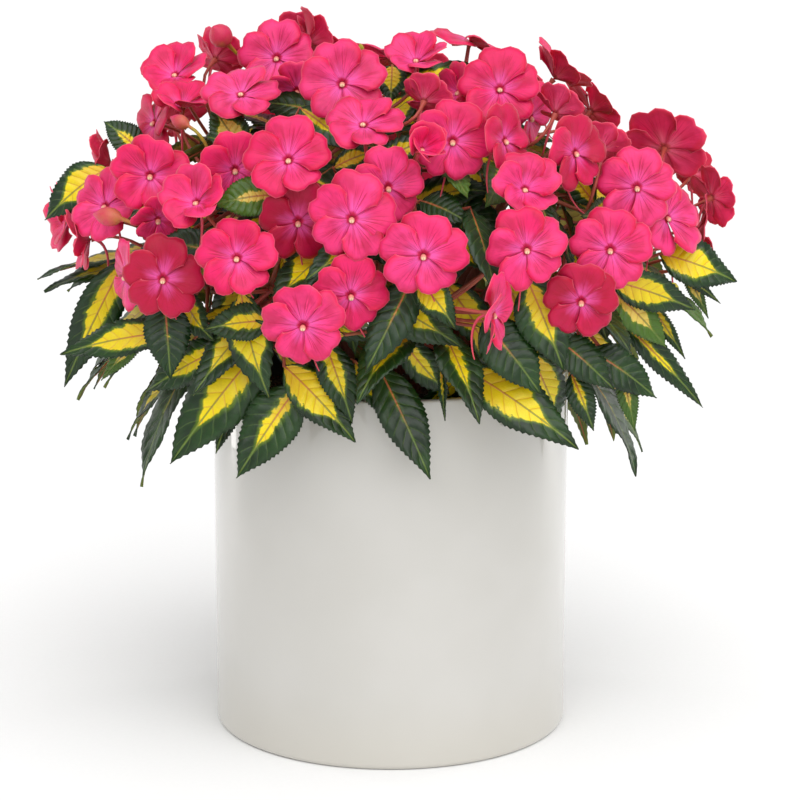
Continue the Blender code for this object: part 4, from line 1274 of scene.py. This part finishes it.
def petal_finish(name, deep, plain, light, tip, lilac, eye_colour, shine):
    """Satin petals: a lilac glow round a red eye, hot pink beyond it, redder towards the rim, with a
    painted highlight along the edge, painted shade in the middle crease and on the side under the next
    petal, and a tone per flower that runs to crimson, partly painted shade.
    """
    material, tree = new_finish(
        name, Specular_IOR_Level=0.3, Subsurface_Weight=0.15, Subsurface_Scale=2.0 * MM,
        Sheen_Weight=0.05, Sheen_Roughness=0.4,
    )
    petal = own_mark(tree, "petal")
    line, glow, eye, rim, cloud, under, lip = steps(
        tree, "ShaderNodeGroup", petal, 17.0, node_tree=EFFECTS["petal"]
    )
    shade, _, middle = parts(own_mark(tree, "blush"))
    _, s, luck = parts(petal)
    grains = noise(object_place(tree), 1600.0, 2.0)
    # Each flower's tone: partly its own, partly painted shade that darkens flowers lying behind others.
    tone = shade + (luck - 0.5) * 0.35
    colour = layered(
        light,
        (eased(tone, 0.0, 0.5), plain),
        (eased(cloud, 0.4, 0.7) * 0.5, deep),
        (rim * 0.7, tip),
        # painted shade in part: deep-toned flowers darkened towards crimson
        (eased(tone, 0.45, 1.0) * 0.75, deep),
        (glow * 0.7, lilac),
        (line * eased(s, 1.05, 0.4) * 0.72, deep),
        # painted shade along the petal's middle crease
        (middle * eased(s, 0.1, 0.4) * eased(s, 1.0, 0.6) * 0.3, deep),
        # painted shade on the side that lies under the next petal
        (under * 0.6, deep),
        # painted highlight along the edge
        (lip * 0.4, linear(250, 120, 140)),
        (eye * 0.85, eye_colour),
    )
    return dress(material, colour, shine + grains * 0.12, line * 0.5 + grains * 0.35, 0.25 * MM, 0.5)


def knob_finish():
    """The small cream centre of a flower, red at its foot and on its upper side."""
    material, tree = new_finish("flower centre", Specular_IOR_Level=0.4)
    x, y, z = parts(own_mark(tree, "knob"))
    grains = noise(object_place(tree), 1500.0, 2.0)
    cleft = eased(abs(x), 0.16, 0.05) * eased(y, 0.5, 0.0)
    colour = layered(
        linear(190, 22, 58),
        (eased(z + (grains - 0.5) * 0.4, -0.2, 0.5), linear(222, 138, 122)),
        (eased(z - y * 0.7, 0.4, 1.0), linear(240, 208, 168)),
        (cleft * 0.6, linear(176, 60, 60)),
    )
    return dress(material, colour, 0.42 + grains * 0.2, grains, 0.3 * MM, 0.5)


def stalk_finish(name, young, old, roughness):
    """Sappy stalks that go from one colour to another along them, finely ribbed and freckled."""
    material, tree = new_finish(
        name, Specular_IOR_Level=0.5, Subsurface_Weight=0.1, Subsurface_Scale=1.5 * MM
    )
    patches, grains = mottled(tree, 70.0, 1100.0)
    tint = own_mark(tree, "tint", "Fac") + (patches - 0.5) * 0.35
    freckles = eased(grains, 0.55, 0.75) * 0.35
    colour = layered(young, (eased(tint, 0.0, 1.0), old), (freckles, linear(96, 40, 34)))
    return dress(material, colour, roughness + grains * 0.15, grains + patches * 0.4, 0.3 * MM, 0.5)


# Finding the solids' flowers and leaves


class Solids:
    """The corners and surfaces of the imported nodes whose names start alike."""

    def __init__(self, start):
        self.names = sorted(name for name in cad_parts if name.startswith(start))
        self.places = []
        self.owners = []
        self.skins = {}
        all_faces = []
        for name in self.names:
            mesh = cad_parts[name].data
            points = [vertex.co.copy() for vertex in mesh.vertices]
            faces = [tuple(face.vertices) for face in mesh.polygons]
            self.skins[name] = BVHTree.FromPolygons(points, faces)
            all_faces += [tuple(len(self.places) + i for i in face) for face in faces]
            self.places += points
            self.owners += [name] * len(points)
        self.skin = BVHTree.FromPolygons(self.places, all_faces)
        self.tree = KDTree(len(self.places))
        for i, place in enumerate(self.places):
            self.tree.insert(place, i)
        self.tree.balance()

    def owner(self, corners):
        """The node that has nearly all of these corners, or None."""
        found = [self.tree.find(corner) for corner in corners]
        names = [self.owners[i] for _, i, distance in found if distance < MATCH]
        if len(names) < FOUND_SHARE * len(corners):
            return None
        return max(set(names), key=names.count)

    def ringed(self, place, radius):
        """How many different corners lie just this far from a place."""
        near = self.tree.find_range(place, radius + MATCH)
        spots = {
            tuple(round(value / MATCH) for value in spot)
            for spot, _, distance in near
            if distance > radius - MATCH
        }
        return len(spots)


def find_heads(solids):
    """The pose of each flower head that the solids have, and its number in the tables."""
    heads = []
    tables = [flower_choices(flower) for flower in FLOWERS]
    tables += [fill_choices(number) for number in range(FILL_TRIES)]
    for number, choices in enumerate(tables):
        for pose in choices:
            corners = [
                petal_point(pose, petal, *spot) for petal in range(PETALS) for spot in PETAL_CORNERS
            ]
            if solids.owner(corners):
                heads.append((pose, number))
                break
    return heads


def find_stalk(solids, start, way, beads):
    """The curve of the stalk that the solids have here: four points, or None."""
    for route in stalk_choices(start, way, beads):
        if solids.ringed(cubic_point(*route, STALK_MARK), STALK_RADIUS) >= STALK_CORNERS:
            return route
    return None


def find_petiole(skin, starts, blade):
    """Where on its stem a leaf's petiole starts."""

    def gap(start):
        spots = [start.lerp(blade.base, share) for share in (0.35, 0.55, 0.75)]
        return sum(skin.find_nearest(spot)[3] for spot in spots)

    return min(starts, key=gap, default=None)


def find_leaves(solids, stems):
    """Each leaf that the solids have: its blade, and where its petiole starts."""
    leaves = []
    tables = [leaf_choices(leaf) for leaf in LEAVES]
    for tier, (count, *_) in enumerate(TIERS):
        tables += [tier_leaf_choices(tier, i) for i in range(count)]
    for number, stem in enumerate(stems):
        tables += [tip_leaf_choices(stem, number, i) for i in range(TIP_LEAVES)]
    for choices in tables:
        for blade in choices:
            name = solids.owner(blade_corners(blade))
            if name:
                stem = stems[solids.names.index(name)]
                starts = petiole_choices(blade, stem)
                leaves.append((blade, find_petiole(solids.skins[name], starts, blade)))
                break
    return leaves


def blade_net(blade, rows=4):
    """A coarse net over a blade, to test its room with."""
    points = []
    for i in range(rows + 1):
        share = 0.02 + 0.98 * i / rows
        half = 0.5 * blade.width * blade_width(share) + 0.3 * MM
        points += [blade_point(blade, share, side * half) for side in (-1, 0, 1)]
    faces = [(a, a + 1, a + 4, a + 3) for i in range(rows) for a in (3 * i, 3 * i + 1)]
    return BVHTree.FromPolygons(points, faces)


def plan_young_leaves(stems):
    """Leaves that fill the dome behind the flowers wherever there is room, each with its start."""
    solid = Solids("").skin
    starts = [stem_point(stem, share / 12) for stem in stems for share in range(3, 13)]
    nets = []
    leaves = []
    for number in range(YOUNG_LEAVES):
        for blade in young_leaf_choices(number):
            net = blade_net(blade)
            if net.overlap(solid) or any(net.overlap(other) for other in nets):
                continue
            nets.append(net)
            leaves.append((blade, min(starts, key=lambda spot: (spot - blade.base).length)))
            break
    return leaves


# Outlines of the pots and routes of the stalks


def arc(radius, height, size, first, last, count=8):
    """Points of a round from one angle to another, in degrees from the outward direction."""
    turns = [math.radians(first + (last - first) * i / count) for i in range(count + 1)]
    return [(radius + size * math.cos(turn), height + size * math.sin(turn)) for turn in turns]


def pot_profile():
    inside = POT_RADIUS - POT_WALL
    low = POT_FOOT_ROUND
    top = POT_HEIGHT - POT_RIM_ROUND
    half = 0.5 * POT_HEIGHT
    profile = [(0, FOOT_HOLLOW), (POT_RADIUS - 14 * MM, FOOT_HOLLOW), (POT_RADIUS - 11 * MM, 0)]
    profile += arc(POT_RADIUS - low, low, low, -90, 0)
    profile += [(POT_RADIUS, height) for height in (low + FLAT, half, top - FLAT)]
    profile += arc(POT_RADIUS - POT_RIM_ROUND, top, POT_RIM_ROUND, 0, 90)
    profile += arc(inside + POT_RIM_ROUND, top, POT_RIM_ROUND, 90, 180)
    profile += [(inside, height) for height in (top - FLAT, half, POT_FLOOR + 6 * MM)]
    profile += arc(inside - INNER_ROUND, POT_FLOOR + INNER_ROUND, -INNER_ROUND, 180, 90)
    return profile + [(inside - 8 * MM, POT_FLOOR), (0, POT_FLOOR)]


def liner_inside(height):
    """The inner radius of the plastic pot at a height."""
    foot = POT_FLOOR + FIT_GAP + LINER_WALL
    share = (height - foot) / (LINER_TOP - foot)
    return LINER_FOOT_RADIUS - LINER_WALL + (LINER_TOP_RADIUS - LINER_FOOT_RADIUS) * share


def liner_profile():
    foot = POT_FLOOR + FIT_GAP
    lip = LINER_TOP - LINER_LIP_DROP
    size = LINER_LIP_ROUND
    top = LINER_TOP - size
    profile = [(0, foot), (LINER_FOOT_RADIUS - FLAT, foot), (LINER_FOOT_RADIUS, foot + FLAT)]
    profile += [(liner_inside(lip) + LINER_WALL, lip), (LINER_LIP_RADIUS - size, lip)]
    profile += [(LINER_LIP_RADIUS, lip + size)]
    profile += arc(LINER_LIP_RADIUS - size, top, size, 0, 90, 4)
    profile += arc(liner_inside(LINER_TOP) + size, top, size, 90, 180, 4)
    return profile + [(liner_inside(foot + LINER_WALL), foot + LINER_WALL), (0, foot + LINER_WALL)]


def soil_profile():
    foot = POT_FLOOR + 2 * FIT_GAP + LINER_WALL
    wide = liner_inside(SOIL_TOP) - 2 * FIT_GAP
    profile = [(0, foot), (liner_inside(foot) - 2 * FIT_GAP, foot), (wide, SOIL_TOP - FLAT)]
    for ring in range(SOIL_RINGS, -1, -1):
        share = ring / SOIL_RINGS
        top = SOIL_TOP + SOIL_CROWN * math.cos(share * math.pi / 2)
        profile.append(((wide - 1 * MM) * share, top))
    return profile


def stem_route(stem, count=16):
    """A stem's line, thicker at the joints where leaves start, red-brown at the foot."""
    route = [(stem.root, STEM_FOOT_RADIUS, 1.0)]
    for i in range(count + 1):
        share = i / count
        swell = sum(math.exp(-(((share - joint) / 0.03) ** 2)) for joint in STEM_JOINTS)
        girth = stem_radius(share) * (1 + 0.22 * min(swell, 1.2))
        route.append((stem_point(stem, share), girth, 0.95 - 0.75 * share))
    way = stem_way(stem, 1)
    return route + [(stem.tip + way * 2 * MM, 0.5 * STEM_TIP_RADIUS, 0.2)]


def petiole_route(blade, start):
    """A leaf stalk that runs on under the blade as its tapering midrib."""
    route = []
    if start:
        sag = Vector((0, 0, -0.05 * (blade.base - start).length))
        for i in range(6):
            share = i / 6
            place = start.lerp(blade.base, share) + sag * math.sin(share * math.pi)
            route.append((place, 1.45 * MM - 0.35 * MM * share, 0.8 - 0.3 * share))
    for share in (0.0, 0.06, 0.16, 0.30, 0.46, 0.62, 0.78):
        girth = 1.1 * MM * (1 - share) ** 1.3 + 0.05 * MM
        depth = girth * 0.55 + 0.3 * MM if share else 0.0
        route.append((blade_point(blade, share, 0, -depth), girth, 0.5 - 0.3 * share))
    return route


def cubic_route(first, leave, arrive, last, girths, tints, count=10):
    route = []
    for i in range(count + 1):
        share = i / count
        girth = girths[0] + (girths[1] - girths[0]) * share
        tint = tints[0] + (tints[1] - tints[0]) * share
        route.append((cubic_point(first, leave, arrive, last, share), girth, tint))
    return route


def spur_route(pose, draw):
    """The long thin spur that hangs behind a flower and curls at its end."""
    back = pose.centre - pose.out * HUB_HALF
    down = Vector((0, 0, -1))
    reach = draw.uniform(22, 40) * MM
    aside = pose.right * draw.uniform(-14, 14) * MM
    leave = back - pose.out * 14 * MM + down * 3 * MM
    arrive = back - pose.out * 12 * MM + down * reach * 0.75 + aside * 0.4
    last = back - pose.out * draw.uniform(0, 10) * MM + down * reach + aside
    return cubic_route(back, leave, arrive, last, (1.2 * MM, 0.35 * MM), (0.3, 1.0), 12)


def head_route(pose, stalk):
    """A flower's stalk from behind its petals to the joint."""
    back = pose.centre - pose.out * HUB_HALF * 0.5
    route = [(back, 2.2 * MM, 0.2), (back.lerp(stalk[0], 0.45), 1.5 * MM, 0.2)]
    return route + cubic_route(*stalk, (1.05 * MM, 1.35 * MM), (0.2, 0.9))


def bud_route(place, way, length, width, stalk):
    """A bud that swells from its stalk and closes to a point, yellow-green while it is small."""
    ripe = 1.0 if width > GREEN_BUD_WIDTH else 0.0
    route = [
        (place + way * length * share, width * girth, (0.6 + 0.4 * share) * ripe)
        for share, girth in BUD_OUTLINE
    ]
    if stalk:
        route = cubic_route(*stalk[::-1], (1.35 * MM, 1.05 * MM), (0.4, 0.2))[:-1] + route
    return route


# Seeds of the petals, leaves and flower centres


def petal_seeds(heads):
    """The measures of every petal of every flower."""
    draw = random.Random(PETAL_SEED)
    rows = []
    for pose, number in heads:
        cup, bend, curl, twist, _ = FORMS[pose.form]
        shade = draw.choice(TONES)
        # Flowers in CRIMSON get the deepest tone: partly their own colour, partly painted shade for
        # flowers that lie behind others.
        if number in CRIMSON:
            shade = CRIMSON_TONE
        elif number in PINK:
            shade *= PINK_SHARE
        skew = 1.6 * math.tan(math.radians(twist))
        for petal, (long_share, wide_share) in enumerate(PETAL_SHARES):
            outward, side = petal_ways(pose, petal)
            form = (math.radians(cup + draw.uniform(-7, 7)), bend, curl)
            longer, wider = draw.uniform(0.93, 1.04), draw.uniform(0.97, 1.08)
            share = (skew, long_share * longer, wide_share * wider)
            place = (pose.centre, outward, side, pose.out)
            rows.append((*place, form, share, pose.length, draw.random(), shade))
    labels = ("centre", "outward", "sideways", "out", "form", "share", "length", "luck", "shade")
    return seed_points("petal seeds", labels, rows)


def leaf_seeds(leaves):
    draw = random.Random(LEAF_LOOK_SEED)
    rows = []
    for blade, _ in leaves:
        roll = math.radians(blade.roll)
        rows.append((*blade[:5], roll, draw.random(), draw.choice(PALE_SHARES)))
    labels = ("base", "bend", "tip", "face", "width", "roll", "luck", "pale")
    return seed_points("leaf seeds", labels, rows)


def knob_seeds(heads):
    rows = []
    for pose, _ in heads:
        place = pose.centre - pose.out * 0.5 * MM
        out = (pose.out * 0.94 - pose.up * 0.34).normalized()
        rows.append((place, pose.right, pose.up, out, 1.8 * MM, 2.2 * MM))
    return seed_points("centre seeds", ("centre", "right", "up", "out", "wide", "high"), rows)


# The pieces


def thicken(piece, thickness, back):
    """Gives a sheet its thickness, and its underside a finish of its own."""
    modifier = piece.modifiers.new("thickness", "SOLIDIFY")
    modifier.thickness = thickness
    modifier.offset = 0
    piece.data.materials.append(back)
    modifier.material_offset = 1
    modifier.material_offset_rim = 0
    return piece


def settle(piece, slot, *nodes):
    """Puts a piece on the body, for the nodes that it stands for, and hides those nodes. Its slot is not
    used.
    """
    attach(piece, "root")
    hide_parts(*nodes)


def make_turned(name, slot, node, profile, tree, finish, **sizes):
    """A piece that is round about the axis, from its outline."""
    piece = grown(name, seed_profile(node + " line", profile), tree, finish, **sizes)
    settle(piece, slot, node)


def make_pots():
    glaze, plastic, earth = glaze_finish(), plastic_finish(), soil_finish()
    turned = turned_tree()
    make_turned("glazed_pot", "glazed_ceramic", "pot", pot_profile(), turned, glaze, Sides=192)
    make_turned(
        "plastic_grow_pot", "black_plastic", "grow_pot", liner_profile(), turned, plastic, Sides=128
    )
    make_turned("soil_with_crumbs", "potting_soil", "soil", soil_profile(), soil_tree(), earth)


def make_stalks(name, routes, slot, nodes, young, old, roughness, **sizes):
    """Stalks of one kind, from their routes and the two colours that they go between."""
    finish = stalk_finish(name[:-1].replace("_", " "), linear(*young), linear(*old), roughness)
    piece = grown(name, seed_routes(name + " lines", routes), STALKS, finish, **sizes)
    settle(piece, slot, *nodes)


def make_flowers(heads, beads, sprays):
    front = petal_finish(
        "petal_face", linear(164, 4, 46), linear(232, 34, 102), linear(244, 62, 130),
        linear(226, 30, 72), linear(244, 98, 184), linear(198, 20, 60), 0.40,
    )
    back = petal_finish(
        "petal_back", linear(180, 14, 56), linear(230, 48, 102), linear(240, 76, 126),
        linear(230, 60, 84), linear(240, 118, 148), linear(212, 92, 92), 0.48,
    )
    petals = grown("petals", petal_seeds(heads), petal_tree(), front)
    settle(thicken(petals, 0.4 * MM, back), "petals", *sprays.names)
    centres = grown("flower_centres", knob_seeds(heads), knob_tree(), knob_finish())
    settle(centres, "petals", *sprays.names)

    draw = random.Random(SPUR_SEED)
    stalks = []
    spurs = []
    for pose, _ in heads:
        stub = pose.centre - pose.out * (HUB_HALF + STUB)
        stalk = find_stalk(sprays, stub, -pose.out, beads)
        if stalk:
            stalks.append(head_route(pose, stalk))
        spurs.append(spur_route(pose, draw))
    buds = []
    for across, up, sink, turn, lift, length, width in BUDS:
        place = sight(across, up, dome_forward(across, up) - sink)
        way = facing(turn, lift)[2]
        if sprays.owner([place + way * length * MM]):
            stalk = find_stalk(sprays, place, -way, beads)
            buds.append(bud_route(place, way, length * MM, width * MM, stalk))
    nodes = sprays.names
    make_stalks("flower_stalks", stalks, "petals", nodes, (176, 72, 62), (128, 70, 46), 0.4)
    make_stalks("flower_spurs", spurs, "petals", nodes, (196, 60, 80), (214, 74, 92), 0.42)
    make_stalks("flower_buds", buds, "petals", nodes, (172, 160, 44), (206, 34, 84), 0.4, Sides=14)


def make_foliage(stems, leaves, leafy):
    young = plan_young_leaves(stems)
    face, back = leaf_finish(), leaf_back_finish()
    shape = leaf_tree()
    blades = grown("leaf_blades", leaf_seeds(leaves), shape, face)
    settle(thicken(blades, 0.6 * MM, back), "foliage", *leafy.names)
    small = grown("young_leaf_blades", leaf_seeds(young), shape, face, Rows=24, Columns=4)
    settle(thicken(small, 0.5 * MM, back), "foliage", *leafy.names)
    petioles = [petiole_route(blade, start) for blade, start in leaves + young]
    routes = [stem_route(stem) for stem in stems]
    nodes = leafy.names
    make_stalks("leaf_stalks", petioles, "foliage", nodes, (190, 112, 78), (160, 62, 56), 0.42)
    make_stalks("stems", routes, "foliage", nodes, (142, 84, 56), (104, 50, 38), 0.45, Sides=14)


def make_plant():
    stems = plan_stems()
    beads = plan_whorls(stems)
    sprays = Solids("flower_spray")
    leafy = Solids("leafy_stem")
    make_flowers(find_heads(sprays), beads, sprays)
    make_foliage(stems, find_leaves(leafy, stems), leafy)


# Camera, floor and light


def make_camera():
    data = bpy.data.cameras.new("camera")
    data.sensor_width = 36.0
    data.lens = 129.51
    data.shift_x = 0.0117
    data.clip_end = 20
    camera = added("camera", data)
    camera.location = EYE
    camera.rotation_euler = (math.pi / 2 - EYE_PITCH, 0, 0)
    bpy.context.scene.camera = camera


def make_floor(half=6.0):
    """A white sheet under and far behind the pot."""
    mesh = bpy.data.meshes.new("floor")
    corners = [(-half, -half, 0), (half, -half, 0), (half, half, 0), (-half, half, 0)]
    mesh.from_pydata(corners, [], [(0, 1, 2, 3)])
    material, tree = new_finish("studio floor", Specular_IOR_Level=0.1)
    grain = noise(object_place(tree), 300.0, 2.0)
    colour = blended(grain, (0.86, 0.86, 0.86), (0.89, 0.89, 0.89))
    mesh.materials.append(dress(material, colour, 0.7 + grain * 0.1))
    added("floor", mesh)


def aimed(name, kind, place, **measures):
    """A light of this kind at a place, turned towards the middle of the pot and plant."""
    data = bpy.data.lights.new(name, kind)
    for label, value in measures.items():
        setattr(data, label, value)
    light = added(name, data)
    light.location = place
    light.rotation_mode = "QUATERNION"
    light.rotation_quaternion = (Vector((0, 0, 0.25)) - Vector(place)).to_track_quat("-Z", "Y")


def softbox(name, place, width, height, power):
    aimed(
        name, "AREA", place,
        shape="RECTANGLE", size=width, size_y=height, energy=power, color=(1.0, 0.98, 0.95),
    )


def make_lights():
    world = bpy.data.worlds.new("studio")
    world.use_nodes = True
    bpy.context.scene.world = world
    shade = world.node_tree.nodes["Background"]
    shade.inputs["Color"].default_value = (1.0, 1.0, 1.0, 1)
    shade.inputs["Strength"].default_value = 0.62
    aimed("broad light", "SUN", (0.34, -1.4, 2.1), energy=2.35, angle=math.radians(78))
    softbox("left strip", (-0.75, 0.35, 0.35), 0.10, 0.7, 0.8)
    softbox("right strip", (0.8, 0.45, 0.35), 0.25, 0.7, 1.2)


STALKS = stalk_tree()
bpy.context.scene.view_settings.view_transform = "Standard"
make_camera()
make_pots()
make_plant()
make_floor()
make_lights()
